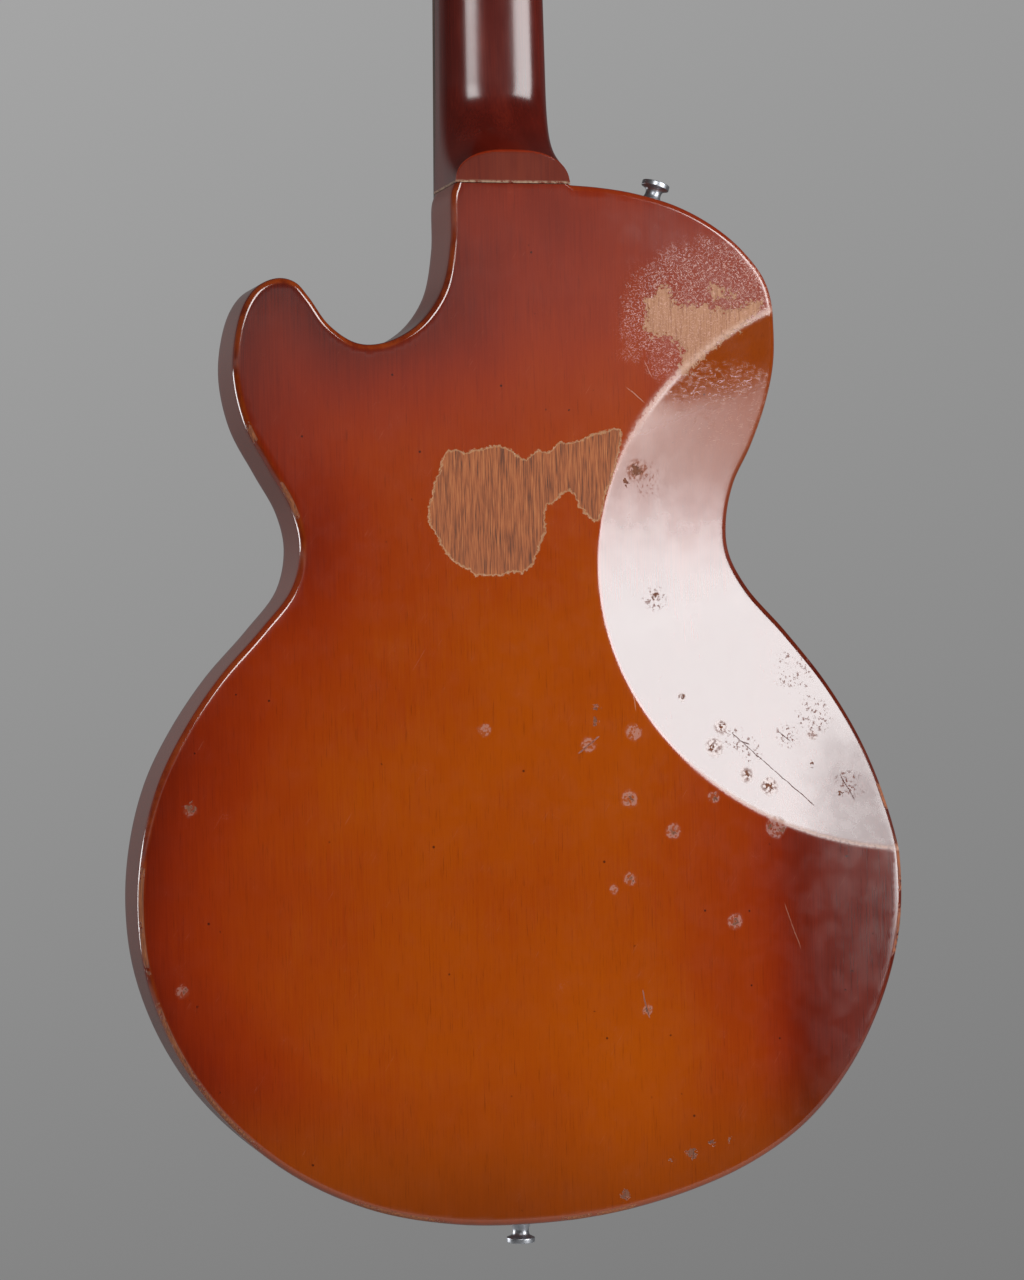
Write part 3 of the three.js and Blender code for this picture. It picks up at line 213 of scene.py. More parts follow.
def distance_to(points, line, closed=True):
    """Least distance from each point to the straight pieces of a line."""
    a = line if closed else line[:-1]
    b = np.roll(line, -1, axis=0) if closed else line[1:]
    way = b - a
    least = np.empty(len(points))
    for part in np.array_split(np.arange(len(points)), max(1, len(points) // 2000)):
        gap = points[part, None, :] - a[None]
        share = np.clip((gap * way).sum(-1) / np.maximum((way**2).sum(-1), 1e-12), 0, 1)
        least[part] = np.sqrt(((gap - share[..., None] * way) ** 2).sum(-1).min(1))
    return least


def triangulated(loops, extra=None):
    """Points and triangles of a Delaunay triangulation that keeps every loop's edges."""
    points = np.vstack(loops if extra is None else [*loops, extra])
    edges, start = [], 0
    for loop in loops:
        own = np.arange(start, start + len(loop))
        edges += list(zip(own.tolist(), np.roll(own, -1).tolist()))
        start += len(loop)
    found = delaunay_2d_cdt([Vector(p) for p in points], edges, [], 1, 1e-5)
    flat = np.array([tuple(v) for v in found[0]])
    return flat, np.array([f for f in found[2] if len(f) == 3])


def filled(outline, holes=(), extra=None):
    """Triangles that fill an outline (n, 2) apart from its holes, using the extra points inside."""
    flat, triangles = triangulated([outline, *holes], extra)
    for hole in holes:
        triangles = triangles[~inside(flat[triangles].mean(1), hole)]
    return flat, triangles


# %% [markdown]
# Sizes follow the CAD source. The scale length sets the frets and the place where the body joins the
# neck; the body's outline is given in shares of its half width and its length below that seam.

# %% Sizes and places
SCALE = 774.7
FRETS = 20
NUT_WIDTH, LAST_FRET_WIDTH = 38.5, 52.4
THICK = 42.0
HALF_WIDTH = 177.4
LENGTH = 461.5
EDGE = 3.0
HEEL_FLARE = 1.7
TENON_HALF, TENON_DEPTH, TENON_LENGTH = 19.0, 28.0, 68.0
GAP = 0.3


def fret_at(fret):
    """A fret's place below the nut: each fret leaves the string 2^(-1/12) of its length."""
    return -SCALE * (1 - 2 ** (-fret / 12))


def board_width(z):
    """The fingerboard's width, which grows evenly from the nut to the last fret."""
    return NUT_WIDTH + (LAST_FRET_WIDTH - NUT_WIDTH) * z / fret_at(FRETS)


SEAM = fret_at(16)
BOARD_END = fret_at(FRETS) - 5.3
HEEL_HALF = (board_width(SEAM) + HEEL_FLARE) / 2


def on_body(shares):
    """Points from shares: x times the half width, and the length times z below the seam."""
    shares = np.asarray(shares, float)
    return np.column_stack([shares[:, 0] * HALF_WIDTH, SEAM - shares[:, 1] * LENGTH])


HEEL_SIDE = np.array([[0.012, 0.011], [0.017, 0.057], [0.048, 0.104], [0.121, 0.136]])
BOUTS = [
    [0.338, 0.153], [0.406, 0.153], [0.474, 0.136], [0.523, 0.11], [0.556, 0.096], [0.597, 0.092],
    [0.647, 0.099], [0.685, 0.117], [0.711, 0.15], [0.716, 0.186], [0.69, 0.231], [0.631, 0.274],
    [0.577, 0.312], [0.558, 0.347], [0.58, 0.386], [0.658, 0.424], [0.767, 0.47], [0.856, 0.519],
    [0.921, 0.568], [0.962, 0.626], [0.975, 0.687], [0.956, 0.75], [0.892, 0.817], [0.787, 0.878],
    [0.617, 0.937], [0.412, 0.977], [0.197, 0.996], [0, 1], [-0.199, 0.995], [-0.409, 0.978],
    [-0.588, 0.952], [-0.733, 0.916], [-0.852, 0.865], [-0.943, 0.799], [-0.991, 0.735], [-1, 0.674],
    [-0.979, 0.611], [-0.93, 0.547], [-0.849, 0.487], [-0.744, 0.435], [-0.634, 0.39], [-0.583, 0.356],
    [-0.575, 0.325], [-0.594, 0.288], [-0.639, 0.252], [-0.674, 0.213], [-0.692, 0.173],
    [-0.686, 0.135], [-0.663, 0.093], [-0.606, 0.063], [-0.53, 0.039], [-0.429, 0.019],
    [-0.316, 0.007], [-0.225, 0.002],
]
beside_heel = np.column_stack([
    HEEL_HALF + HEEL_SIDE[:, 0] * (HALF_WIDTH - HEEL_HALF), SEAM - HEEL_SIDE[:, 1] * LENGTH,
])
outline_corners = np.vstack([[HEEL_HALF, SEAM], beside_heel, on_body(BOUTS), [-HEEL_HALF, SEAM]])
rim = evenly(smooth_curve(outline_corners, 24), 1.4)
rim[0], rim[-1] = [HEEL_HALF, SEAM], [-HEEL_HALF, SEAM]
print("points round the body:", len(rim))

# %% [markdown]
# The belly cut is a slanting cut in the bass side of the back, for the player's ribs. It is the
# surface of a wide flat cone whose point lies outside the body, so its upper edge is part of an
# ellipse. The player's arm and years of polishing have rounded that edge a little.

# %% Height of the back
CUT_X, CUT_Z = -190.0, SEAM - 171.0
CUT_ACROSS, CUT_ALONG, CUT_DEEP = 154.0, 130.0, 40.0
RIDGE_ROUND = 0.5


def cut_share(x, z):
    """Distance from the cone's point in shares of its reach: the root of (dx / a)^2 + (dz / b)^2."""
    return np.hypot((x - CUT_X) / CUT_ACROSS, (z - CUT_Z) / CUT_ALONG)


def back_height(x, z):
    """The lower of the flat back and the cone, with the ridge between them rounded: the smooth
    minimum takes off a quarter of the squared overlap where the two are nearly level."""
    cone = THICK - CUT_DEEP * (1 - cut_share(x, z))
    overlap = np.maximum(RIDGE_ROUND - np.abs(THICK - cone), 0)
    return np.minimum(THICK, cone) - overlap**2 / (4 * RIDGE_ROUND)


# %% [markdown]
# The body is one mesh of three parts: the back and the front, which are filled outlines, and between
# them the edge, which is a profile carried along the rim. The profile rounds both corners with a
# quarter circle. Pockets for the neck, pickup, controls and studs are sunk into the front.

# %% Body shape
def inward(path):
    """Unit normals of an open path, turned to the body's inside."""
    way = np.gradient(path, axis=0)
    way /= np.linalg.norm(way, axis=1, keepdims=True)
    normal = np.column_stack([way[:, 1], -way[:, 0]])
    middle = len(path) // 2
    return normal if normal[middle] @ (np.array([0, CUT_Z]) - path[middle]) > 0 else -normal


rim_normal = inward(rim)
rim_normal[0], rim_normal[-1] = [-1, 0], [1, 0]
turn = np.linspace(0, math.pi / 2, 9)
sunk, dropped = EDGE * (1 - np.sin(turn)), EDGE * (1 - np.cos(turn))


def edge_rows():
    """Rows of the rim's profile from the back round to the front. On each rounding, a point stands
    in by r(1 - sin t) and down by r(1 - cos t)."""
    rows = []
    for inset, drop in zip(sunk, dropped):
        flat = rim + rim_normal * inset
        rows.append(at_level(flat, back_height(*flat.T) - drop))
    side_top = rows[-1][:, 1]
    for share in np.linspace(0, 1, 8)[1:]:
        rows.append(at_level(rim, side_top + (EDGE - side_top) * share))
    for inset, drop in list(zip(sunk, dropped))[-2::-1]:
        rows.append(at_level(rim + rim_normal * inset, drop))
    return np.array(rows)


PICKUP_Z = BOARD_END - 3 - 28
STUD_X, STUD_Z = 46.0, -SCALE - 3.5
CONTROLS = dict(zip(("volume", "tone", "jack"), on_body([[0.57, 0.604], [0.71, 0.69], [0.67, 0.793]])))
CAVITY = on_body([
    [0.47, 0.56], [0.68, 0.56], [0.84, 0.669], [0.81, 0.745], [0.75, 0.828], [0.59, 0.832],
    [0.48, 0.723],
])


def rectangle(x0, x1, z0, z1):
    """The four corners of a rectangle, in order round it."""
    return np.array([[x0, z0], [x1, z0], [x1, z1], [x0, z1]], float)


def circle(x, z, radius, count=32):
    """Points round a circle: its middle plus the radius times the cosine and sine of even steps."""
    angle = 2 * math.pi * np.arange(count) / count
    return np.column_stack([x + radius * np.cos(angle), z + radius * np.sin(angle)])


pockets = [  # outline, depth
    (rectangle(-46.4, 46.4, PICKUP_Z - 24.4, PICKUP_Z + 24.4), 26.0),
    (CAVITY, 32.0),
    (circle(-STUD_X, STUD_Z, 5.9), 20.3),
    (circle(STUD_X, STUD_Z, 5.9), 20.3),
]


def pocket(outline, depth):
    """Walls from the front plane down to a flat floor."""
    flat, triangles = filled(outline)
    return joined(upright(outline, 0.0, depth), (at_level(flat, depth), [triangles]))


print("pockets in the front:", len(pockets))

# %% [markdown]
# The back needs small triangles only where something fine happens: along the belly cut's ridge and
# on the bare patches, whose outlines follow the photograph. A second, finer grid of points is used
# there.

# %% Body points and faces
fine = 0.8
wide = 2.0
WORN_MAIN = [
    [32.7, -585.6], [29.4, -585.0], [24.7, -586.4], [20.0, -585.3], [16.0, -584.7], [11.0, -583.4],
    [6.6, -584.1], [3.3, -585.1], [0.0, -588.3], [-3.0, -589.7], [-6.1, -587.4], [-8.8, -585.5],
    [-14.2, -586.6], [-15.9, -584.5], [-19.0, -581.9], [-21.7, -582.6], [-27.8, -581.3], [-34.6, -578.7],
    [-40.1, -577.1], [-44.2, -576.1], [-47.6, -576.1], [-47.5, -580.7], [-46.4, -585.9], [-44.9, -591.8],
    [-42.4, -600.3], [-40.3, -603.6], [-38.1, -612.7], [-36.3, -617.3], [-33.6, -616.9], [-30.6, -614.0],
    [-27.2, -610.7], [-26.0, -606.1], [-23.3, -603.8], [-20.6, -604.4], [-17.2, -607.3], [-15.4, -609.6],
    [-12.4, -609.6], [-11.6, -613.8], [-11.8, -621.6], [-10.1, -625.5], [-7.9, -630.7], [-5.5, -636.5],
    [-0.4, -640.0], [3.7, -639.3], [9.1, -640.9], [20.8, -640.7], [23.7, -638.1], [27.7, -636.1],
    [31.6, -633.5], [35.5, -628.2], [38.0, -622.4], [41.3, -618.2], [41.5, -613.3], [41.1, -608.8],
    [39.4, -604.3], [38.6, -599.8], [36.2, -594.6], [35.5, -590.8],
]
WORN_SHOULDER = [
    [-59.5, -531.0], [-60.5, -527.5], [-61.2, -522.0], [-60.0, -518.4], [-64.8, -516.3], [-67.0, -512.5],
    [-70.5, -513.0], [-72.2, -517.6], [-74.6, -521.0], [-77.5, -521.6], [-81.6, -519.6], [-84.0, -522.3],
    [-87.4, -519.6], [-90.8, -523.0], [-94.2, -521.5], [-97.6, -523.0], [-103.5, -522.0], [-109.0, -520.0],
    [-114.0, -519.0], [-113.0, -524.0], [-102.5, -532.0], [-95.5, -537.0], [-89.0, -542.0], [-82.5, -548.0],
    [-79.0, -551.5], [-76.5, -552.0], [-76.0, -546.5], [-78.5, -541.0], [-74.2, -537.2], [-68.0, -534.4],
    [-63.2, -535.0],
]
WORN_SMALL = [
    [[-90.4, -512.3], [-94.0, -511.3], [-96.6, -513.7], [-96.5, -517.1], [-92.4, -518.1], [-90.9, -514.7]],
    [[-98.1, -514.6], [-103.2, -515.6], [-102.1, -517.1], [-98.0, -516.6]],
]
worn_places = [np.array(p) for p in (WORN_MAIN, WORN_SHOULDER, *WORN_SMALL)]


def grid(outline, step, margin):
    """A grid of points inside an outline, alternate rows shifted by half a step, none near its line."""
    low, high = outline.min(0), outline.max(0)
    x, z = np.meshgrid(np.arange(low[0], high[0], step), np.arange(low[1], high[1], step * 0.87))
    x = x + (np.arange(len(x)) % 2 * step / 2)[:, None]
    points = np.column_stack([x.ravel(), z.ravel()])
    points = points[inside(points, outline)]
    return points[distance_to(points, outline) > margin]


def needs_detail(points):
    """True near the belly cut's ridge and on the worn patches."""
    close = np.abs(cut_share(*points.T) - 1) < 0.045
    for place in worn_places:
        low, high = place.min(0) - 2, place.max(0) + 2
        close |= ((points > low) & (points < high)).all(1)
    return close


rows = edge_rows()
back_outline = rows[0][:, [0, 2]]
back_grid = grid(back_outline, wide, 0.7 * wide)
fine_grid = grid(back_outline, fine, fine)
extra = np.vstack([back_grid[~needs_detail(back_grid)], fine_grid[needs_detail(fine_grid)]])
flat, triangles = filled(back_outline, extra=extra)
back_shell = (at_level(flat, back_height(*flat.T)), [triangles])

room_half, room_depth, room_end = TENON_HALF + GAP, TENON_DEPTH + GAP, SEAM - TENON_LENGTH - GAP
notch = np.array([[-room_half, SEAM], [-room_half, room_end], [room_half, room_end], [room_half, SEAM]])
front_outline = np.vstack([rows[-1][:, [0, 2]], notch])
holes = [outline for outline, depth in pockets]
front_grid = grid(front_outline, 6.0, 3.0)
for hole in holes:
    front_grid = front_grid[~inside(front_grid, hole)]
    front_grid = front_grid[distance_to(front_grid, hole) > 2]
flat, triangles = filled(front_outline, holes, front_grid)
front_shell = (at_level(flat, 0.0), [triangles])

profile = rows[:, 0, :2]
socket = np.array([[room_half, 0], [room_half, room_depth], [-room_half, room_depth], [-room_half, 0]])
flat, triangles = filled(np.vstack([profile, socket, rows[::-1, -1, :2]]))
seam_shell = (np.column_stack([flat, np.full(len(flat), SEAM)]), [triangles])


def tenon_pocket():
    """The neck pocket: three walls from the front down to its floor, open to the seam."""
    points = np.vstack([at_level(notch, 0.0), at_level(notch, room_depth)])
    return points, [ring_faces(2, 4, closed=False), np.array([[4, 5, 6, 7]])]


edge_shell = (rows.reshape(-1, 3), [ring_faces(len(rows), len(rim), closed=False)])
body_points, body_faces = joined(
    back_shell, edge_shell, front_shell, seam_shell, tenon_pocket(), *(pocket(*p) for p in pockets),
)
print("body points", len(body_points), "faces", sum(len(f) for f in body_faces))

# %% [markdown]
# Finishes are built from nodes. One helper adds any node, sets it and feeds its inputs. The others
# are patterns of several nodes. A finish starts from a shader and from the piece's own coordinates
# in millimetres, so every pattern below is written with its real size.

# %% Node helpers
TIMES, PLUS = {"operation": "MULTIPLY"}, {"operation": "ADD"}
TIMES_PLUS, LARGER = {"operation": "MULTIPLY_ADD"}, {"operation": "MAXIMUM"}
ALWAYS_POSITIVE, SCALED = {"operation": "ABSOLUTE"}, {"operation": "SCALE"}
SMOOTH = {"interpolation_type": "SMOOTHSTEP"}
BLEND = {"data_type": "RGBA"}


def linear(colour):
    """sRGB hex to linear light: (c / 12.92) below 0.04045, else ((c + 0.055) / 1.055) ** 2.4."""
    parts = [int(colour[i : i + 2], 16) / 255 for i in (0, 2, 4)]
    return [*(c / 12.92 if c <= 0.04045 else ((c + 0.055) / 1.055) ** 2.4 for c in parts), 1.0]


def wire(value, socket):
    """Feeds an input. A node's first visible output is linked to it, and so is an output given by
    itself. A hex colour or a number is set on it, and None leaves it as it is."""
    if isinstance(value, bpy.types.Node):
        value = next(out for out in value.outputs if out.enabled)
    if isinstance(value, bpy.types.NodeSocket):
        socket.id_data.links.new(value, socket)
    elif value is not None:
        socket.default_value = linear(value) if isinstance(value, str) else value


def add(tree, kind, *values, **settings):
    """A node of the kind given, with its settings. The values feed its visible inputs in order."""
    made = tree.nodes.new("ShaderNode" + kind)
    for key, value in settings.items():
        setattr(made, key, value)
    for socket, value in zip([socket for socket in made.inputs if socket.enabled], values):
        wire(value, socket)
    return made


def tinted(ramp, *stops):
    """A colour ramp with its stops: each a place from 0 to 1, and a hex colour or a grey level."""
    elements = ramp.color_ramp.elements
    while len(elements) < len(stops):
        elements.new(0.5)
    for element, (place, tint) in zip(elements, stops):
        element.position = place
        element.color = linear(tint) if isinstance(tint, str) else (tint, tint, tint, 1)
    return ramp


def finish(name, **constants):
    """A new material, the helper that adds nodes to it, its shader with its own constants, and the
    piece's coordinates in millimetres."""
    made = bpy.data.materials.new(name)
    made.use_nodes = True
    node = partial(add, made.node_tree)
    shader = made.node_tree.nodes["Principled BSDF"]
    for key, value in constants.items():
        shader.inputs[key.replace("_", " ")].default_value = value
    mm = node("VectorMath", node("TexCoord").outputs["Object"], 1 / MM, **SCALED)
    return made, node, shader, mm


# %% Patterns
def mottle(node, where, size, detail=3.0, rough=0.5):
    """Noise with blots of a real size along x, y and z: the coordinates are divided by that size."""
    scaled = node("VectorMath", where, [1 / length for length in size], **TIMES)
    return node("TexNoise", scaled, 1.0, detail, rough)


def laid(node, under, over, mask, strength=1.0):
    """One colour laid over another. The upper one's share is the mask times the strength."""
    return node("Mix", node("Math", mask, strength, **TIMES), under, over, **BLEND)


def band(node, value, rise, fall):
    """1 between two borders: a smooth rise over one pair of values times a fall over the other."""
    up, down = [node("MapRange", value, *pair, **SMOOTH) for pair in (rise, fall)]
    return node("Math", up, down, **TIMES)


def dress(shader, colour, gloss, height, depth):
    """Wires colour, roughness and relief to a shader. The relief is the height, from 0 to 1, times a
    depth in millimetres."""
    relief = add(shader.id_data, "Bump", 1.0, depth * MM, None, height)
    for name, value in (("Base Color", colour), ("Roughness", gloss), ("Normal", relief)):
        wire(value, shader.inputs[name])


# %% [markdown]
# The lacquer was sprayed in rings, from amber in the middle to a dark red-brown at the edge, and has
# aged. Where a belt, a hand or a stand rubbed, it is worn through to bare wood. Each of these fields
# is worked out per point of the body as a distance in millimetres, and the finish turns it into
# colour, gloss and relief.

# %% Fields on the body
DINGS = [  # across, along, radius in millimetres: chips and cracks down to the wood
    [149.7, -739.5, 2.4], [153.4, -819.3, 1.3], [-48.5, -741.5, 1.9], [-47.8, -777.2, 1.5],
    [-68.3, -756.4, 1.6], [-87.9, -741.7, 1.5], [-96.7, -798.2, 1.8], [-55.1, -836.0, 1.4],
    [-89.6, -848.8, 1.2], [-34.0, -700.5, 1.6], [-33.9, -706.3, 1.8], [-93.9, -710.5, 1.8],
    [-88.6, -719.4, 1.9], [-104.8, -732.4, 1.6], [-115.3, -737.7, 2.0], [-64.1, -650.9, 1.5],
    [-54.9, -594.4, 2.8], [-65.0, -903.6, 1.4], [-74.4, -901.0, 2.6], [-83.9, -897.0, 1.4],
    [-92.4, -895.2, 1.4], [-42.8, -918.0, 2.4], [-75.3, -696.6, 1.2], [-50.0, -600.0, 1.8],
    [-114.5, -755.5, 1.5], [-119.5, -757.5, 1.3], [-138.0, -729.0, 1.3], [-150.0, -742.0, 1.3],
]
SCUFFS = [  # across, along, radius in millimetres: pale stains and knocks that left the colour whole
    [-48.5, -741.5, 4.6], [-87.9, -741.7, 3.8], [-68.3, -756.4, 4.6], [-117.4, -756.1, 6.0],
    [-47.8, -777.2, 3.8], [-96.7, -798.2, 4.6], [-40.3, -781.4, 2.8], [-50.5, -711.5, 5.0],
    [-29.6, -716.9, 4.6], [149.7, -740.4, 3.6], [154.7, -818.9, 3.6], [17.6, -709.0, 4.0],
    [136.0, -669.0, 7.0], [-55.1, -836.0, 3.0], [-64.1, -650.9, 3.0], [-55.0, -594.4, 6.0],
    [-93.9, -710.5, 4.8], [-89.6, -719.4, 6.0], [-104.8, -732.4, 4.6], [-115.3, -737.7, 5.6],
    [-75.3, -696.6, 2.6], [-139.5, -715.5, 3.0],
]
EDGE_WEAR = [  # across, along, reach along the edge in millimetres
    [103.3, -606.7, 9.0], [118.5, -577.0, 5.0], [172.0, -780.0, 16.0], [168.0, -800.0, 14.0],
    [150.0, -840.0, 24.0], [133.0, -868.0, 24.0], [124.0, -876.0, 14.0], [-170.0, -745.0, 8.0],
    [-40.0, -921.0, 12.0], [-20.0, -924.0, 8.0], [60.0, -921.0, 24.0], [-125.0, -520.0, 6.0],
    [-170.0, -775.0, 14.0], [-163.0, -805.0, 18.0],
]
FRECKLES = [  # across, along, radius in millimetres: clusters of small brown specks in the belly cut
    [-134.0, -686.0, 15.0], [-141.0, -706.0, 12.0], [-127.0, -715.0, 8.0], [-155.0, -738.0, 9.0],
    [-100.0, -716.0, 8.0], [-108.0, -721.0, 9.0], [-64.0, -652.0, 8.0], [-60.0, -598.0, 10.0],
]


def smooth_step(value, low, high):
    """0 below low, 1 above high, and 3t^2 - 2t^3 between them."""
    t = np.clip((value - low) / (high - low), 0, 1)
    return t * t * (3 - 2 * t)


def signed_distance(points, outline):
    """Distance to an outline, positive inside it."""
    return np.where(inside(points, outline), 1, -1) * distance_to(points, outline)


def body_fields(x, y, z):
    """The lacquer's fields at each point, by name. The spray's strength is a product of three smooth
    curves: down the body, in from its treble edge and in from its bass edge."""
    points = np.column_stack([x, z])
    depth = distance_to(points, rim, closed=False)
    drop = back_height(x, z) - y
    down = np.interp(-z, [467, 490, 519, 554, 590, 640, 670, 723, 778, 830, 857, 890, 905, 929],
                     [0.42, 0.44, 0.44, 0.6, 0.7, 0.82, 0.9, 0.9, 0.82, 0.92, 1.0, 0.88, 0.74, 0.5])
    low_end = smooth_step(-z, 850, 910)
    treble = np.interp(depth, [0, 15, 45, 80, 120], [0.16, 0.38, 0.74, 0.9, 1.0])
    treble += (0.95 - treble) * 0.6 * np.exp(-(((z + 585) / 45) ** 2)) * (1 - 0.7 * smooth_step(x, 50, 95))
    treble += (0.9 - treble) * 0.35 * np.exp(-(((z + 668) / 35) ** 2))
    treble = 1 + (treble - 1) * smooth_step(x, -60, 20) * (1 - 0.6 * low_end)
    upper = smooth_step(z, -640, -585)
    bass = 0.1 + 0.6 * smooth_step(x, -134, -98) + 0.3 * smooth_step(x, -105, -40)
    bass = bass + (0.85 - bass) * upper * (x < -60)
    share = cut_share(x, z)
    in_cut = smooth_step(1 - share, -0.006, 0.008)
    burst = down * treble * bass
    burst -= 0.1 * np.exp(-(((x + 40) / 45) ** 2) - ((z + 486) / 20) ** 2)
    burst += 0.1 * np.exp(-(((x - 16) / 26) ** 2) - ((z + 480) / 16) ** 2)
    burst -= 0.06 * smooth_step(x, 20, 60) * smooth_step(z, -600, -560)
    burst += (0.52 * smooth_step(z, -668, -560) - burst) * in_cut
    amber = np.maximum(low_end, in_cut * upper)
    on_back = y > EDGE
    burst = np.where(on_back, burst, np.interp(depth, [0, 12, 40, 75, 110], [0.0, 0.08, 0.55, 0.92, 1.0]))
    amber = np.where(on_back, amber, 0.5 * smooth_step(depth, 60, 110))
    drop = np.minimum(drop, y)
    fields = {"burst": burst, "amber": amber, "edge": np.clip(np.minimum(depth, 60) - drop, -30, 60)}
    bare = np.max([signed_distance(points, outline) for outline in worn_places], axis=0)
    bare = np.minimum(bare, 150 * (share - 0.985))
    ding = [radius - np.hypot(x - across, z - along) for across, along, radius in DINGS]
    scuff = [1 - np.hypot(x - across, z - along) / radius for across, along, radius in SCUFFS]
    rub = [1 - np.hypot(x - across, z - along) / reach for across, along, reach in EDGE_WEAR]
    freckle = [1 - np.hypot(x - across, z - along) / radius for across, along, radius in FRECKLES]
    fields["bare"] = np.where(on_back, bare, -20).clip(-20)
    fields["ding"] = np.where(on_back, np.max(ding, axis=0), -20).clip(-20)
    fields["scuff"] = np.max(scuff, axis=0).clip(0) * on_back
    fields["rub"] = np.max(rub, axis=0).clip(0)
    fields["freckle"] = np.max(freckle, axis=0).clip(0) * on_back * in_cut
    crackle = smooth_step(-np.hypot((x + 93) / 46, (z + 526) / 36), -1.3, -0.35)
    fields["crackle"] = crackle * smooth_step(share, 0.98, 1.01) * on_back
    fields["wrinkle"] = smooth_step(-np.hypot((x + 100) / 34, (z + 566) / 20), -1.15, -0.5) * in_cut * on_back
    beside = 145 * (share - 1)
    chalk_and_glint = np.exp(-(((beside - 0.4) / 1.5) ** 2)) * smooth_step(z, -612, -560)
    # painted highlight: along the lower ridge a thin near-white line stands for the lamp's glint on the
    # rounded ridge
    chalk_and_glint += np.exp(-(((beside + 0.3) / 0.9) ** 2)) * smooth_step(-z, 715, 745)
    fields["chalk_and_glint"] = chalk_and_glint * on_back
    level = z + 0.35 * (x + 75)
    haze = in_cut * smooth_step(z, -665, -585) * (1 - smooth_step(level, -584, -556))
    haze = np.maximum(haze, (0.24 + 0.4 * in_cut) * smooth_step(-x, 118, 150) * smooth_step(-z, 690, 735))
    haze = np.maximum(haze, 0.35 * np.exp(-(((x + 62) / 34) ** 2) - ((z + 487) / 15) ** 2))
    fields["haze"] = haze * on_back
    return fields


def set_fields(target, fields):
    """Writes fields into a mesh under their names, as one number for each of its points."""
    for name, values in fields.items():
        made = target.data.attributes.new(name, "FLOAT", "POINT")
        made.data.foreach_set("value", np.asarray(values, np.float32))


def places(target):
    """All points of a piece in millimetres, as three arrays."""
    flat = np.empty(len(target.data.vertices) * 3, np.float32)
    target.data.vertices.foreach_get("co", flat)
    return (flat.reshape(-1, 3) / MM).astype(float).T


# %% [markdown]
# The body's finish is nitrocellulose lacquer: a thin clear gloss over a sprayed colour, with the
# wood's upright grain below. To the eye it gives a deep warm colour and a mirror-like sheen where it
# isn't worn. A procedural finish does this better than a picture would, because every speck keeps
# its real size. It is laid on in layers, as the real one was.

# %% Sunburst lacquer
sunburst, node, shader, mm = finish("aged sunburst lacquer over wood", IOR=1.9)
field = {name: node("Attribute", attribute_name=name).outputs["Fac"] for name in (
    "burst", "edge", "amber", "bare", "ding", "scuff", "rub", "freckle", "crackle", "wrinkle", "chalk_and_glint",
    "haze")}
sideways, level, upward = node("SeparateXYZ", mm).outputs
grain = mottle(node, mm, (0.75, 0.75, 30.0), 4.0, 0.62)
cloud = mottle(node, mm, (38.0, 38.0, 55.0))
ragged = mottle(node, mm, (1.6, 1.6, 1.6), 4.0, 0.65)
patchy = mottle(node, mm, (9.0, 9.0, 9.0), 3.0, 0.6)
pores = mottle(node, mm, (0.45, 0.45, 11.0), 3.0, 0.6)
tone = node("Math", grain, 0.3, node("Math", field["burst"], -0.15, **PLUS), **TIMES_PLUS)
tone = node("Math", tone, node("Math", cloud, 0.24, -0.12, **TIMES_PLUS), **PLUS)
reds = tinted(
    node("ValToRGB", tone), (0.0, "4c0f05"), (0.12, "641805"), (0.3, "7c2206"), (0.5, "8c2c05"),
    (0.7, "963705"), (0.85, "9e4203"), (1.0, "a44801"),
)
browns = tinted(node("ValToRGB", tone), (0.0, "5e2406"), (0.5, "863806"), (1.0, "a44801"))
colour = node("Mix", field["amber"], reds, browns, **BLEND)
colour = node("Mix", node("MapRange", pores, 0.56, 0.75, 0.0, 0.34, **SMOOTH), colour, "4c1504", **BLEND)
SPECK_SPACING = 11.0
dots = node("TexVoronoi", mm, 1 / SPECK_SPACING)
speck = node(
    "Math", node("MapRange", dots, 0.07, 0.035, **SMOOTH), node("MapRange", patchy, 0.5, 0.55, **SMOOTH),
    **TIMES,
)
colour = laid(node, colour, "2a0d06", speck, 0.75)
print("colour layers over", len(field), "fields")

# %% [markdown]
# On the rounded edge the colour is worn thin and shows as an orange line. Below it the side is dark.
# Knocks that left the colour whole show as pale blots with a ragged middle, and belt buckles and
# sleeves have left fine hairs across the back.

# %% Worn edge, scuffs and hairs
line = band(node, field["edge"], (3.4, 1.4), (-2.2, -0.6))
line = node("Math", line, node("MapRange", patchy, 0.3, 0.62, 0.15, 0.8, **SMOOTH), **TIMES)
treble_side = node("MapRange", sideways, -60.0, 10.0, 0.25, 1.0, **SMOOTH)
colour = node("Mix", node("Math", line, treble_side, **TIMES), colour, "8a3608", **BLEND)
side = node("MapRange", field["edge"], -1.2, -3.0, **SMOOTH)
side_colour = tinted(node("ValToRGB", tone), (0.0, "66230f"), (0.6, "7c3016"))
colour = node("Mix", side, colour, side_colour, **BLEND)


def blots(name, swing, border, core):
    """A field's blots with an uneven outline: noise of the given swing shifts the value that has to
    pass the border, and the core is the span that the field rises over at the blots' own edge."""
    uneven = node("Math", field[name], node("Math", patchy, swing, -swing / 2, **TIMES_PLUS), **PLUS)
    uneven = node("MapRange", uneven, *border, **SMOOTH)
    return node("Math", uneven, node("MapRange", field[name], 0.0, core, **SMOOTH), **TIMES)


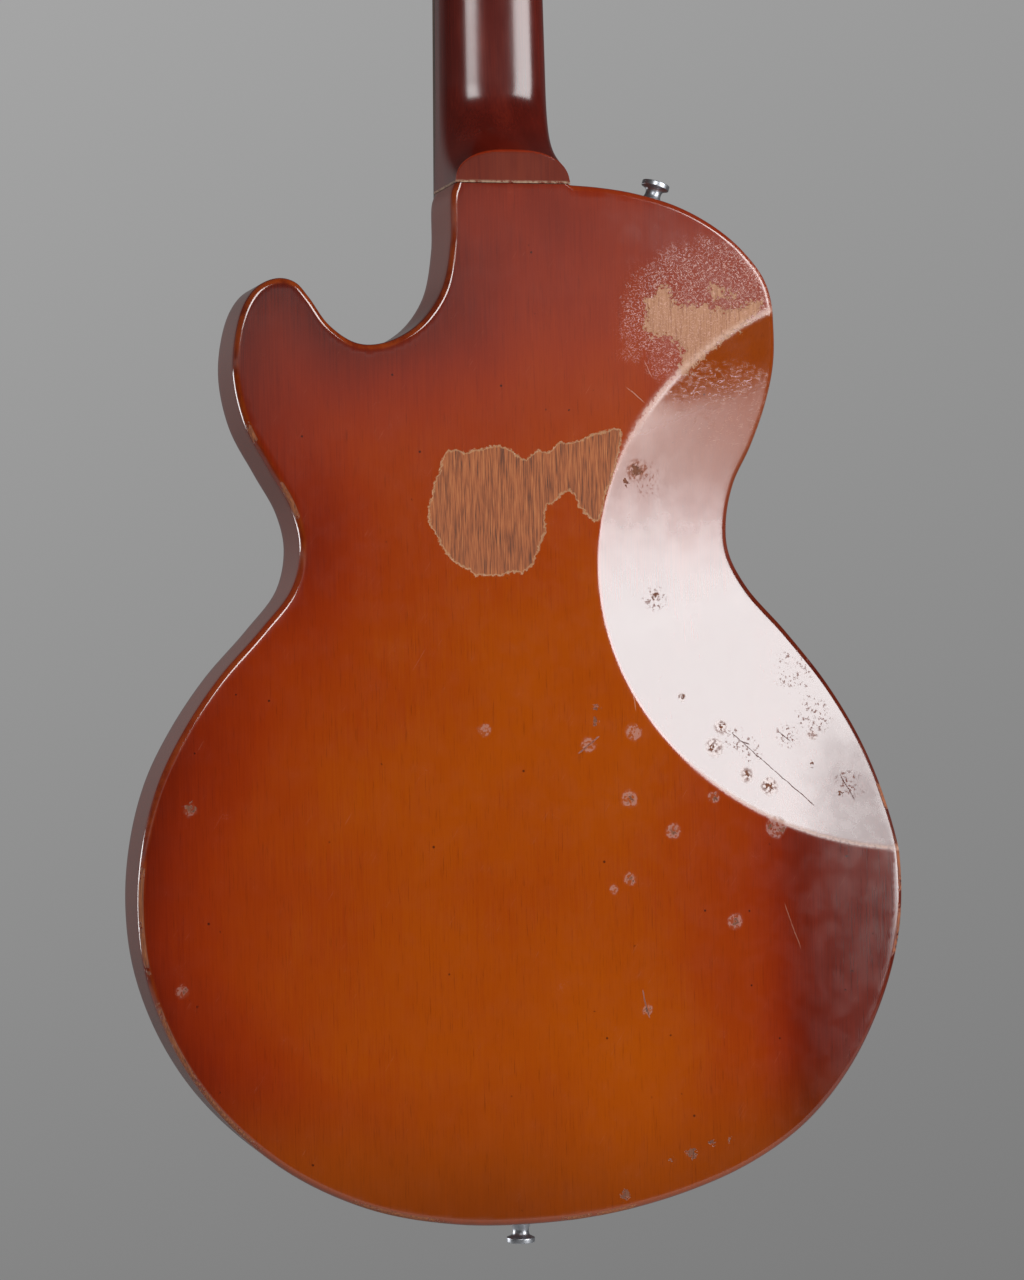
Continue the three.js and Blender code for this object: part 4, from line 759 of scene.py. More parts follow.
halo = blots("scuff", 0.5, (0.05, 0.5), 0.12)
scuffed = node("Math", halo, node("MapRange", ragged, 0.42, 0.56, **SMOOTH), **TIMES)
colour = laid(node, colour, "a0684c", halo, 0.2)
colour = laid(node, colour, "7e4a36", scuffed, 0.16)
freckled = blots("freckle", 0.6, (0.1, 0.55), 0.1)
freckled = node("Math", freckled, node("MapRange", ragged, 0.54, 0.63, **SMOOTH), **TIMES)
colour = laid(node, colour, "8a5240", freckled, 0.4)
hair = node("VectorRotate", mm, None, math.radians(32), rotation_type="Y_AXIS")
hair = mottle(node, hair, (0.22, 4.0, 16.0), 1.0)
hair = node(
    "Math", node("MapRange", hair, 0.74, 0.8, **SMOOTH), node("MapRange", patchy, 0.5, 0.64, **SMOOTH),
    **TIMES,
)
colour = laid(node, colour, "b0735a", hair, 0.35)
print("scuffs", len(SCUFFS), "and freckled places", len(FRECKLES))

# %% [markdown]
# Single scratches are lines with two ends. A noise can't place them, so each is worked out from its
# own start and end. Deep ones have filled with dirt and are dark. Shallow ones have only crushed the
# lacquer and are pale.

# %% Scratches
DARK_SCRATCHES = [  # start and end (across, along), then half the width, in millimetres
    [(-98.3, -712.5), (-137.5, -747.8), 0.3], [(-35.5, -712.5), (-24.2, -721.0), 0.45],
    [(-52.5, -826.0), (-55.9, -840.5), 0.4], [(-151.0, -733.0), (-157.5, -746.0), 0.35],
    [(-122.5, -713.0), (-129.0, -718.5), 0.3], [(-109.0, -719.5), (-101.0, -716.0), 0.4],
]
PALE_SCRATCHES = [
    [(-49.8, -557.0), (-59.4, -565.1), 0.35], [(-58.4, -544.9), (-62.9, -553.9), 0.25],
    [(-50.6, -690.5), (-52.0, -703.0), 0.3], [(-120.0, -790.0), (-128.0, -812.0), 0.18],
]
SCRATCH_CROOKED, SCRATCH_FADE = 1.6, 3.0


def scratch(start, end, half_width):
    """1 where the distance to the line from start to end is under half a width, 0 elsewhere. Noise
    makes the line a little crooked, and it fades out near its ends."""
    start, end = np.array(start), np.array(end)
    length = np.hypot(*(end - start))
    way = (end - start) / length
    across = node("VectorMath", mm, (way[1], 0, -way[0]), operation="DOT_PRODUCT")
    along = node("VectorMath", mm, (way[0], 0, way[1]), operation="DOT_PRODUCT")
    shift = float(way[0] * start[1] - way[1] * start[0]) - SCRATCH_CROOKED / 2
    across = node("Math", patchy, SCRATCH_CROOKED, node("Math", across, shift, **PLUS), **TIMES_PLUS)
    along = node("Math", along, -float(way @ (start + end) / 2), **PLUS)
    across, along = [node("Math", value, **ALWAYS_POSITIVE) for value in (across, along)]
    near = node("MapRange", across, half_width, 0.3 * half_width, **SMOOTH)
    within = node("MapRange", along, length / 2, length / 2 - SCRATCH_FADE, **SMOOTH)
    return node("Math", near, within, **TIMES)


def scratches(marks):
    """The largest of all marks' values, broken up by noise, and only on the back of the body."""
    made = 0.0
    for mark in marks:
        made = node("Math", scratch(*mark), made, **LARGER)
    made = node("Math", made, node("MapRange", ragged, 0.36, 0.48, 0.3, 1.0, **SMOOTH), **TIMES)
    return node("Math", made, node("MapRange", level, 20.0, 25.0, **SMOOTH), **TIMES)


dark_marks = scratches(DARK_SCRATCHES)
pale_marks = scratches(PALE_SCRATCHES)
colour = laid(node, colour, "4a2012", dark_marks, 0.75)
colour = laid(node, colour, "c99f86", pale_marks, 0.42)
print("scratches", len(DARK_SCRATCHES) + len(PALE_SCRATCHES))

# %% [markdown]
# Where the lacquer is gone, the wood is matt, with open pores that have gone dark. The patches'
# borders are ragged, because lacquer breaks off in flakes: noise shifts each distance by up to two
# millimetres, and by more at the shoulder. A pale line follows the border, where the flakes end.

# %% Bare wood
shoulder = node("MapRange", upward, -575.0, -555.0, 4.0, 15.0, **SMOOTH)
bare_line = node("Math", node("Math", ragged, -0.5, **PLUS), shoulder, field["bare"], **TIMES_PLUS)
bared = node("MapRange", bare_line, 0.0, 0.25, **SMOOTH)
rub_line = node("Math", patchy, 0.7, node("Math", ragged, 0.9, **TIMES), **TIMES_PLUS)
rub_line = node("Math", rub_line, node("Math", field["rub"], 0.45, **TIMES), **PLUS)
on_edge = band(node, field["edge"], (2.6, 1.4), (-1.8, -0.8))
rubbed = node("Math", node("MapRange", rub_line, 0.86, 0.94, **SMOOTH), on_edge, **TIMES)
rubbed = node("Math", rubbed, node("MapRange", field["rub"], 0.0, 0.1, **SMOOTH), **TIMES)
ding_line = node("Math", ragged, 9.0, node("Math", field["ding"], -4.9, **PLUS), **TIMES_PLUS)
dinged = node("MapRange", ding_line, 0.0, 0.4, **SMOOTH)
wood = tinted(
    node("ValToRGB", pores), (0.3, "45210f"), (0.42, "7d3f18"), (0.55, "9b5327"), (0.72, "b06c3a")
)
pale_wood = tinted(node("ValToRGB", pores), (0.3, "84543c"), (0.45, "a27153"), (0.7, "b48465"))
wood = node("Mix", node("MapRange", upward, -560.0, -552.0, **SMOOTH), wood, pale_wood, **BLEND)
wood = laid(node, wood, "4a2a1c", dinged, 0.6)
worn = node("Math", bared, node("Math", rubbed, dinged, **LARGER), **LARGER)
colour = node("Mix", worn, colour, wood, **BLEND)
flake_line = band(node, bare_line, (-0.5, 0.1), (0.9, 0.3))
colour = laid(node, colour, "b3845a", flake_line, 0.7)
print("bare patches", len(worn_places), "and chips", len(DINGS))

# %% [markdown]
# The old lacquer has shrunk into fine crooked cracks. Their lifted edges catch the light, and that is
# painted: the cracks get a pale highlight colour. A crack runs where a noise crosses its middle value,
# so it is a closed crooked line. Short dashes in three directions stand for the finest net of cracks,
# which is drawn a little coarser than it really is.

# %% Checking
def tilted_noise(across, along, tilt):
    """Noise with long blots, turned about the y axis by a tilt in degrees."""
    turned_mm = node("VectorRotate", mm, None, math.radians(tilt), rotation_type="Y_AXIS")
    return mottle(node, turned_mm, (across, across, along), 1.0)


def cracks(across, along, tilt, width):
    """1 where the tilted noise is at its middle value, falling to 0 at the width to either side."""
    away = node("Math", tilted_noise(across, along, tilt), -0.5, **PLUS)
    return node("MapRange", node("Math", away, **ALWAYS_POSITIVE), 0.0, width, 1.0, 0.0, **SMOOTH)


dashes = [node("MapRange", tilted_noise(0.42, 1.7, tilt), 0.6, 0.68, **SMOOTH) for tilt in (48, -35, 82)]
fine_cracks = node("Math", node("Math", *dashes[:2], **LARGER), dashes[2], **LARGER)
broken = mottle(node, mm, (2.4, 2.4, 2.4), 2.0)
dense = node(
    "Math", node("Math", field["crackle"], 1.3, **TIMES), node("Math", patchy, -0.5, **PLUS), **PLUS
)
dense = node("MapRange", dense, 0.1, 1.0, **SMOOTH)
dense = node("Math", dense, node("MapRange", broken, 0.35, 0.55, 0.35, 1.0, **SMOOTH), **TIMES)
waves = node("Math", cracks(1.3, 9.0, 78, 0.016), cracks(1.0, 7.0, 100, 0.014), **LARGER)
waves = node("Math", waves, node("MapRange", broken, 0.46, 0.54, **SMOOTH), **TIMES)
waves = node("Math", waves, node("Math", field["wrinkle"], 0.7, **TIMES), **TIMES)
cracks_with_glints = node("Math", node("Math", fine_cracks, dense, **TIMES), waves, **LARGER)
colour = laid(node, colour, "a8705c", field["crackle"], 0.05)
# painted highlight: the cracks are coloured pale where their lifted edges would catch the light
colour = laid(node, colour, "d6a593", cracks_with_glints, 0.6)
# pale chalky wear along the upper ridge, and along the lower ridge a painted highlight
chalk_and_glint_shown = node("Math", field["chalk_and_glint"], node("MapRange", ragged, 0.3, 0.62, 0.25, 1.0, **SMOOTH), **TIMES)
colour = laid(node, colour, "d6b3a2", chalk_and_glint_shown, 0.6)
print("three directions of dashes and two of waves")

# %% [markdown]
# The gloss comes last. Polished lacquer has a roughness of about a tenth. Each kind of wear adds its
# own share where it lies, and bare wood is quite matt. In relief, cracks stand up and bare wood lies
# a little below the lacquer.

# %% Gloss and relief
gloss = node("Math", node("MapRange", patchy, 0.35, 0.65, **SMOOTH), 0.04, 0.07, **TIMES_PLUS)
for layer, strength in (
    (field["crackle"], 0.08), (field["haze"], 0.27), (cloud, 0.03), (scuffed, 0.42), (freckled, 0.5),
    (chalk_and_glint_shown, 0.4), (dark_marks, 0.7),
):
    gloss = node("Math", layer, strength, gloss, **TIMES_PLUS)
relief = node("Math", cracks_with_glints, 0.5, node("Math", grain, 0.1, **TIMES), **TIMES_PLUS)
relief = node("Math", worn, -1.2, relief, **TIMES_PLUS)
dress(shader, colour, node("Math", gloss, worn, **LARGER), relief, 0.1)

# %% Body
body = piece("body_shell", body_points, body_faces, sunburst, "lacquered_body", stands_for=["body"])
set_fields(body, body_fields(*places(body)))
print("body", len(body.data.polygons), "faces")

# %% [markdown]
# The world is a plain grey backdrop that darkens downwards, as in the photograph. Lacquer shows what
# it mirrors, so glossy rays see other things: a dark room behind the camera, with one grey band of
# wall above the horizon. The player's side gets its soft light from the whole room behind it.

# %% World
world = bpy.data.worlds.new("world")
scene.world = world
world.use_nodes = True
node = partial(add, world.node_tree)
sideways, behind, up = node("SeparateXYZ", node("TexCoord").outputs["Generated"]).outputs


def by_height(*levels):
    """Grey levels by height: a ramp over the direction's z, from -1 to 1."""
    share = node("Math", up, 0.5, 0.5, **TIMES_PLUS)
    return tinted(node("ValToRGB", share), *((0.5 + height / 2, level) for height, level in levels))


wall = by_height((-1.0, 0.13), (-0.18, 0.228), (0.18, 0.368), (1.0, 0.5))
fall = node("Clamp", node("Math", sideways, 0.48, 1.07, **TIMES_PLUS), 0.8, 1.2)
wall = node("VectorMath", wall, fall, **SCALED)
dim_wall = node("VectorMath", wall, node("MapRange", up, 0.12, 0.4, 0.46, 0.08, **SMOOTH), **SCALED)
room = by_height(
    (-1.0, 0.04), (0.0, 0.01), (0.035, 0.02), (0.06, 0.1), (0.09, 0.3), (0.122, 0.38), (0.135, 0.1),
    (0.2, 0.05), (1.0, 0.03),
)
mirrored = node("Mix", node("MapRange", behind, -0.4, 0.2, **SMOOTH), dim_wall, room, **BLEND)
fill = node("VectorMath", wall, node("MapRange", behind, 0.1, -0.7, 1.0, 2.6, **SMOOTH), **SCALED)
ray = node("LightPath").outputs
shown = node("Mix", ray["Is Diffuse Ray"], wall, fill, **BLEND)
shown = node("Mix", ray["Is Glossy Ray"], shown, mirrored, **BLEND)
wire(shown, world.node_tree.nodes["Background"].inputs["Color"])
scene.view_settings.view_transform = "Standard"
print("backdrop made")

# %% [markdown]
# Three soft boxes light the bass. A tall one stands to the bass side, and its mirror image is the
# bright patch in the belly cut. A smaller one hangs higher and gives the neck its second highlight.
# The third lights the front, which this camera doesn't see. Area lamps are right for them, because
# a soft box is a glowing rectangle of a real size.

# %% Lamps
def soft_box(name, place, target, width, height, radiance):
    """An area lamp that faces its target; its power is pi times its radiance times its area."""
    data = bpy.data.lights.new(name, "AREA")
    data.shape = "RECTANGLE"
    data.size, data.size_y = width, height
    data.energy = math.pi * radiance * width * height
    made = bpy.data.objects.new(name, data)
    made.location = place
    made.rotation_euler = (Vector(target) - Vector(place)).to_track_quat("-Z", "Y").to_euler()
    scene.collection.objects.link(made)


for box in (
    ("soft_box_bass_side", (-1.333, 1.478, -0.22), (-0.163, -0.019, -0.22), 0.95, 1.52, 7.6),
    ("soft_box_neck", (0.51, 2.2, 0.36), (0.0, 0.02, -0.42), 0.68, 0.92, 7.6),
    ("soft_box_front", (2.0, -1.5, -0.85), (0.0, 0.0, -0.5), 1.2, 0.8, 6.5),
):
    soft_box(*box)
    print(box[0], "at", box[1], "metres")

# %% [markdown]
# The floor is a wide disc that fades out at its rim, so that it has no edge against the backdrop. It
# lies below the instrument, as a hanging instrument leaves it.

# %% Floor
FLOOR_LEVEL, FLOOR_SIDES = -1300.0, 128
FLOOR_RADII = [0.1, 900.0, 1100.0, 1300.0, 1500.0, 1800.0]
FADE_START, FADE_END = 1703.0, 2200.0
angle = np.linspace(0, 2 * math.pi, FLOOR_SIDES + 1)[:-1]
level = np.full(FLOOR_SIDES, FLOOR_LEVEL)
discs = np.stack([np.column_stack([r * np.cos(angle), r * np.sin(angle), level]) for r in FLOOR_RADII])
grey, node, shader, mm = finish("pale studio floor", Roughness=0.8)
speckle = node("ValToRGB", mottle(node, mm, (3.0, 3.0, 3.0), 4.0))
wire(tinted(speckle, (0.3, "8c8c8c"), (0.7, "949494")), shader.inputs["Base Color"])
reach = node("VectorMath", mm, operation="LENGTH")
wire(node("MapRange", reach, FADE_START, FADE_END, 1.0, 0.0, **SMOOTH), shader.inputs["Alpha"])
mesh = bpy.data.meshes.new("floor")
mesh.from_pydata((discs.reshape(-1, 3) * MM).tolist(), [], ring_faces(len(discs), FLOOR_SIDES).tolist())
mesh.materials.append(grey)
floor = bpy.data.objects.new("floor", mesh)
scene.collection.objects.link(floor)
print("floor at", FLOOR_LEVEL, "mm")

# %% [markdown]
# The neck is one length of wood. Its section is flat in front and round behind. Towards the body it
# grows deeper and squarer until it ends in a flat cap, level with the body's back. The shapes of the
# sections are the CAD model's, at many more stations and with finer rings.

# %% Neck sections
NECK_SIDE = 6.5
HEEL_RISE, HEEL_CAP = 48.0, 13.9
SHAFT_FULL, HEEL_FULL = 2.3, 7.0
TILT = math.radians(14)
HEAD_PIVOT = 6.0
HEAD_LENGTH, HEAD_HALF, HEAD_THICK = 190.0, 41.0, 14.0
LOW_DEPTH, NUT_DEPTH = 19.5, 15.5


def neck_rings(z, width, depth, fullness, beyond, lean, count=140):
    """Sections of the neck, one for each entry of the arrays. Behind straight sides stands a
    superellipse: |x / a|^n + |y / b|^n = 1. Beyond the head's pivot the sections lean back."""
    angle = np.linspace(0, math.pi, count)[None, :]
    n = 2 / fullness[:, None]
    across = width[:, None] / 2 * np.sign(np.cos(angle)) * np.abs(np.cos(angle)) ** n
    drop = np.sin(angle).clip(0) ** n
    drop[:, [0, -1]] = 0
    back = NECK_SIDE + (depth[:, None] - NECK_SIDE) * drop
    sides = NECK_SIDE * np.linspace(0, 1, 5)[None, :-1] + 0 * width[:, None]
    half = width[:, None] / 2 + 0 * sides
    x = np.hstack([half, across, -half])
    y = np.hstack([sides, back, sides[:, ::-1]])
    y = np.minimum(y, THICK)
    lean, beyond, z = lean[:, None], beyond[:, None], z[:, None]
    return np.stack([
        x, y * np.cos(lean) + beyond * np.sin(lean), z - y * np.sin(lean) + beyond * np.cos(lean),
    ], -1)


def shaft():
    """Stations from the seam to the headstock, each with its depth, width and fullness."""
    rise = np.concatenate([np.arange(0, 20, 0.5), np.arange(20, HEEL_RISE + 0.1, 1.0)])
    left = 1 - rise / HEEL_RISE
    swell = (left / (1 - HEEL_CAP / HEEL_RISE)) ** 2.2
    z = SEAM + GAP + rise
    width = board_width(SEAM + rise) + HEEL_FLARE * left**2
    depth = LOW_DEPTH + (THICK - LOW_DEPTH) * swell
    full = SHAFT_FULL + (HEEL_FULL - SHAFT_FULL) * left**5.5
    run = np.linspace(0, 1, 60)[1:]
    z = np.concatenate([z, z[-1] + (0 - z[-1]) * run])
    width = np.concatenate([width, width[-1] + (NUT_WIDTH - width[-1]) * run])
    depth = np.concatenate([depth, LOW_DEPTH + (NUT_DEPTH - LOW_DEPTH) * run])
    full = np.concatenate([full, np.full(len(run), SHAFT_FULL)])
    still = np.zeros(len(z))
    steps = np.linspace(0, 5, 61)[1:]
    knots = np.arange(6)
    beyond = np.interp(steps, knots, [0, 0, 0.05, 0.1, 0.15, 0.19]) * HEAD_LENGTH
    lean = np.interp(steps, knots, [0, 0.5, 1, 1, 1, 1]) * TILT
    pivot = np.interp(steps, knots, [0, 1, 1, 1, 1, 1]) * HEAD_PIVOT
    half_width = np.interp(beyond, half_head[:, 1], half_head[:, 0])
    half_width += np.interp(steps, knots, [0, 0, 0, 0, 0.1, -0.4])
    widening = (half_head[0, 0] - NUT_WIDTH / 2) * smooth_step(steps, 0, 1)
    half_width = np.where(steps < 1, NUT_WIDTH / 2 + widening, half_width)
    head_depth = np.interp(steps, knots, [NUT_DEPTH, 15.2, 14.7, 14.3, 14.1, 13.7])
    squareness = np.interp(steps, knots, [SHAFT_FULL, 2.8, 3.8, 5.5, 9.0, 14.0])
    return neck_rings(
        np.concatenate([z, pivot]), np.concatenate([width, 2 * half_width]),
        np.concatenate([depth, head_depth]), np.concatenate([full, squareness]),
        np.concatenate([still, beyond]), np.concatenate([still, lean]),
    )


def block(low, high):
    """Points and faces of a box."""
    (x0, y0, z0), (x1, y1, z1) = low, high
    ends = [[[x0, y0, z], [x1, y0, z], [x1, y1, z], [x0, y1, z]] for z in (z0, z1)]
    return skin(np.array(ends, float))


def tilted(points):
    """From the headstock's own frame to the instrument's: turned back about the pivot."""
    x, y, z = np.asarray(points, float).T
    return np.column_stack([
        x, y * math.cos(TILT) + z * math.sin(TILT), HEAD_PIVOT - y * math.sin(TILT) + z * math.cos(TILT),
    ])


def plate(outline, front, back, rounding=0.0, steps=4, holes=()):
    """A flat piece between two levels of y. Its outline (x, z) is rounded at both faces by a quarter
    circle; each hole goes straight through."""
    turn = np.linspace(0, math.pi / 2, steps + 1) if rounding else np.array([math.pi / 2])
    way = np.roll(outline, -1, axis=0) - np.roll(outline, 1, axis=0)
    way /= np.linalg.norm(way, axis=1, keepdims=True)
    side = np.column_stack([way[:, 1], -way[:, 0]])
    spin = (outline[:, 0] * np.roll(outline[:, 1], -1) - np.roll(outline[:, 0], -1) * outline[:, 1]).sum()
    side *= -1 if spin > 0 else 1
    rows = []
    for level, sign, order in ((front, 1, turn), (back, -1, turn[::-1])):
        for t in order:
            line = outline + side * rounding * (1 - math.sin(t))
            rows.append(at_level(line, level + sign * rounding * (1 - math.cos(t))))
    rows = np.array(rows)
    shells = [(rows.reshape(-1, 3), [ring_faces(len(rows), len(outline))])]
    for level, row in ((front, rows[0]), (back, rows[-1])):
        flat, triangles = filled(row[:, [0, 2]], holes)
        shells.append((at_level(flat, level), [triangles]))
    return joined(*shells, *(upright(hole, front, back) for hole in holes))


def both_halves(half, mirror=(-1, 1)):
    """A whole outline from one half: its points, and then their mirror images in reverse order."""
    return np.vstack([half, (half * mirror)[-2::-1]])


HEAD_SHARES = [
    [0.478, 0.02], [0.497, 0.055], [0.56, 0.095], [0.7, 0.14], [0.9, 0.205], [0.97, 0.27], [0.95, 0.5],
    [0.97, 0.75], [1, 0.88], [0.9, 0.955], [0.5, 0.99], [0, 1],
]
half_head = smooth_curve(np.array(HEAD_SHARES) * [HEAD_HALF, HEAD_LENGTH], 8)
head_outline = both_halves(half_head)
POSTS = {"e": (-23.0, 52.0, -1), "a": (-23.0, 120.0, -1), "d": (23.0, 120.0, 1), "g": (23.0, 52.0, 1)}
POST_WAIST, WAIST_BACK = 4.0, -8.8
print("headstock outline", len(head_outline), "points, posts for strings", *POSTS)

# %% [markdown]
# The neck's own lacquer is darker and glossier than the body's, because it got more coats and the
# hand has polished it. The heel's flat cap is painted a little lighter, for the light that falls on its
# flat face; it has a worn orange brim, and dust lies in the seam below it.

# %% Neck lacquer
CAP_LEVEL = 41.3
neck_gloss, node, shader, mm = finish("dark gloss lacquer on the neck", IOR=1.67)
level, upward = node("SeparateXYZ", mm).outputs[1:]
grain = mottle(node, mm, (0.8, 0.8, 30.0), 4.0, 0.6)
cloud = mottle(node, mm, (16.0, 16.0, 45.0))
dust = mottle(node, mm, (2.2, 2.2, 1.4), 4.0, 0.7)
tone = node("Math", grain, 0.5, node("Math", cloud, 0.7, -0.1, **TIMES_PLUS), **TIMES_PLUS)
colour = tinted(node("ValToRGB", tone), (0.25, "3c0a04"), (0.5, "4e0f06"), (0.75, "62190a"))
heel = node("MapRange", upward, SEAM + HEEL_RISE, SEAM + 2.0, **SMOOTH)
cap = node("Math", node("MapRange", level, CAP_LEVEL, CAP_LEVEL + 0.65, **SMOOTH), heel, **TIMES)
# painted light: the flat cap is coloured lighter than the rest of the neck, for the light on its flat face
cap_lit_colour = tinted(node("ValToRGB", tone), (0.3, "5a1a0e"), (0.6, "6e2610"))
colour = node("Mix", cap, colour, cap_lit_colour, **BLEND)
brim = node("Math", band(node, level, (40.0, 41.2), (41.98, 41.8)), heel, **TIMES)
colour = laid(node, colour, "9a300e", brim, 0.7)
line = node("MapRange", upward, SEAM + 1.8, SEAM + 0.5, **SMOOTH)
line = node("Math", line, node("MapRange", dust, 0.35, 0.6, **SMOOTH), **TIMES)
line = node("Math", line, 0.75, **TIMES)
colour = node("Mix", line, colour, "a58a68", **BLEND)
gloss = node("Math", line, 0.4, node("Math", cloud, 0.16, 0.1, **TIMES_PLUS), **TIMES_PLUS)
dress(shader, colour, gloss, grain, 0.008)

# %% Neck
PLATE_START_SHARE = 0.15
tenon_shell = block([-TENON_HALF, 0, SEAM - TENON_LENGTH], [TENON_HALF, TENON_DEPTH, SEAM + 2])
upper_half = half_head[half_head[:, 1] > PLATE_START_SHARE * HEAD_LENGTH]
head_points, head_faces = plate(both_halves(upper_half), 0.0, HEAD_THICK, 1.5)
neck_points, neck_faces = joined(skin(shaft()), (tilted(head_points), head_faces), tenon_shell)
neck = piece("neck_shell", neck_points, neck_faces, neck_gloss, "lacquered_neck", stands_for=["neck"])
print("neck", len(neck.data.polygons), "faces")

# %% [markdown]
# Turned parts, such as strap buttons, knobs, studs and tuner posts, are a profile carried round an
# axis. The profile is made dense and its corners are eased, as a lathe tool leaves them.

# %% Turned parts
AXIS = 0.01  # a solid part's profile starts and ends this near its axis


def eased(profile, radius, steps=5):
    """A profile whose corners are replaced by small parabolas: (1-t)^2 a + 2t(1-t) b + t^2 c, which
    start and end at most the radius away from the corner b."""
    p = np.asarray(profile, float)
    made = [p[:1]]
    for before, corner, after in zip(p[:-2], p[1:-1], p[2:]):
        way_in, way_out = before - corner, after - corner
        long_in, long_out = np.linalg.norm(way_in), np.linalg.norm(way_out)
        a = corner + way_in * min(radius / long_in, 0.45)
        c = corner + way_out * min(radius / long_out, 0.45)
        t = np.linspace(0, 1, steps)[:, None]
        made.append((1 - t) ** 2 * a + 2 * t * (1 - t) * corner + t**2 * c)
    return np.vstack([*made, p[-1:]])


def turned(profile, sides=64):
    """Points and faces of a profile (radius, height) carried round the y axis: each point's radius
    times the cosine and sine of even steps."""
    p = np.asarray(profile, float)
    angle = 2 * math.pi * np.arange(sides) / sides
    rings = np.stack([
        p[:, :1] * np.cos(angle), np.repeat(p[:, 1:], sides, axis=1), p[:, :1] * np.sin(angle),
    ], -1)
    return rings.reshape(-1, 3), [ring_faces(len(rings), sides)]


def placed(shell, at=(0, 0, 0), axis=None):
    """A shell moved to a place, its y axis turned first to another axis."""
    points, faces = shell
    if axis is not None:
        way = np.array(Vector((0, 1, 0)).rotation_difference(Vector(axis)).to_matrix())
        points = points @ way.T
    return points + np.asarray(at, float), faces


# %% [markdown]
# Old metal is never quite even. Handling and air leave clouds of tarnish a few millimetres wide and
# finer marks of polishing, so base colour and roughness follow noise of those sizes. The strap
# buttons are polished aluminium, which shows as a cool grey shine with a slight haze.

# %% Metal finishes
def metal(name, base, tarnish, rough, spread, cloud_size, mark_size, depth):
    """A bare metal: its base colour and roughness vary by clouds, its relief by fine marks."""
    made, node, shader, mm = finish(name, Metallic=1.0)
    cloud = mottle(node, mm, [cloud_size] * 3, 4.0, 0.6)
    marks = mottle(node, mm, mark_size, 3.0, 0.6)
    colour = tinted(node("ValToRGB", cloud), (0.35, tarnish), (0.6, base))
    gloss = node("Math", cloud, -spread, rough + spread, **TIMES_PLUS)
    dress(shader, colour, node("Math", marks, 0.08, gloss, **TIMES_PLUS), marks, depth)
    return made


aluminium = metal(
    "polished aluminium, hazed by age", "c6c9cf", "a9adb4", 0.3, 0.1, 4.0, (0.3, 0.3, 0.3), 0.004)
steel = metal("steel screw heads", "a3a19d", "84817c", 0.26, 0.12, 2.0, (0.2, 0.2, 0.2), 0.006)
print("aluminium and steel")

# %% [markdown]
# A strap button is a turned trumpet shape with a wide head that keeps the strap's hole from slipping
# off. A long wood screw holds it, and the screw's head is sunk into the button.

# %% Strap button's profile
BUTTON_BASE, BUTTON_WAIST, BUTTON_HEAD, BUTTON_HEIGHT = 5.6, 3.6, 6.35, 10.6
BUTTON_BORE, SCREW_HEAD, SCREW_SINK = 2.4, 3.6, 8.2
flank = [[BUTTON_BASE, 0.3], [4.56, 2.33], [BUTTON_WAIST, 4.77], [4.1, 7.21], [BUTTON_HEAD, 8.4]]
button_profile = np.vstack([
    [[BUTTON_BORE, 0], [BUTTON_BASE, 0]],
    smooth_curve(flank, 8),
    [[BUTTON_HEAD, BUTTON_HEIGHT], [SCREW_HEAD + 0.3, BUTTON_HEIGHT], [SCREW_HEAD + 0.3, SCREW_SINK],
     [BUTTON_BORE, SCREW_SINK], [BUTTON_BORE, 0]],
])
screw_profile = [
    [AXIS, SCREW_SINK + 2.1], [BUTTON_BORE, SCREW_SINK + 2.1], [SCREW_HEAD, SCREW_SINK + 0.9],
    [SCREW_HEAD, SCREW_SINK + 0.3], [2.1, SCREW_SINK + 0.3], [2.1, -20.0], [AXIS, -24.0],
]
print("strap button profile", len(button_profile), "points")

# %% Strap buttons
for name, seat, axis in (
    ("shoulder", [-69.275, 21.0, -473.53], [-0.30447, 0.0, 0.95252]),
    ("tail", [0.0, 21.0, -929.06], [0.01568, 0.0, -0.99988]),
):
    shell = placed(turned(eased(button_profile, 0.35)), seat, axis)
    piece(f"{name}_button_shell", *shell, aluminium, "aluminium", stands_for=[f"{name}_strap_button"])
    shell = placed(turned(eased(screw_profile, 0.3), 40), seat, axis)
    piece(f"{name}_screw_shell", *shell, steel, "steel", stands_for=[f"{name}_strap_screw"])
print("strap buttons made")

# %% [markdown]
# The fingerboard is dark open-pored wood. Its face is curved across, as the strings lie over it.
# Twenty pieces of fret wire sit in it, each a half-round crown on a narrow foot with bevelled ends.
# Fret wire is one section drawn out long, so it is made from sections along the board's curve.

# %% Fingerboard finishes
rosewood, node, shader, mm = finish("oiled dark wood of the fingerboard", IOR=1.45)
grain = mottle(node, mm, (0.9, 0.9, 34.0), 5.0, 0.62)
streak = mottle(node, mm, (5.0, 5.0, 90.0))
pores = mottle(node, mm, (0.35, 0.35, 5.0), 2.0)
tone = node("Math", streak, 0.6, node("Math", grain, 0.5, **TIMES), **TIMES_PLUS)
colour = tinted(
    node("ValToRGB", tone), (0.35, "1f120c"), (0.5, "33200f"), (0.62, "4a2e1a"), (0.75, "5d3a22"))
open_pores = node("MapRange", pores, 0.62, 0.7, **SMOOTH)
colour = node("Mix", open_pores, colour, "140b07", **BLEND)
gloss = node("Math", grain, 0.2, 0.35, **TIMES_PLUS)
dress(shader, colour, gloss, node("Math", open_pores, -1.0, grain, **TIMES_PLUS), 0.03)

fret_wire = metal("nickel silver fret wire", "bcb9b0", "a3a096", 0.16, 0.08, 4.0, (4.0, 0.15, 0.15), 0.003)
pearl, node, shader, mm = finish("pearl plastic of the position dots")
swirl = mottle(node, mm, (1.4, 1.4, 1.4))
colour = tinted(node("ValToRGB", swirl), (0.35, "b9b6a8"), (0.5, "e2dfd2"), (0.65, "cdc9ba"))
dress(shader, colour, 0.18, swirl, 0.002)

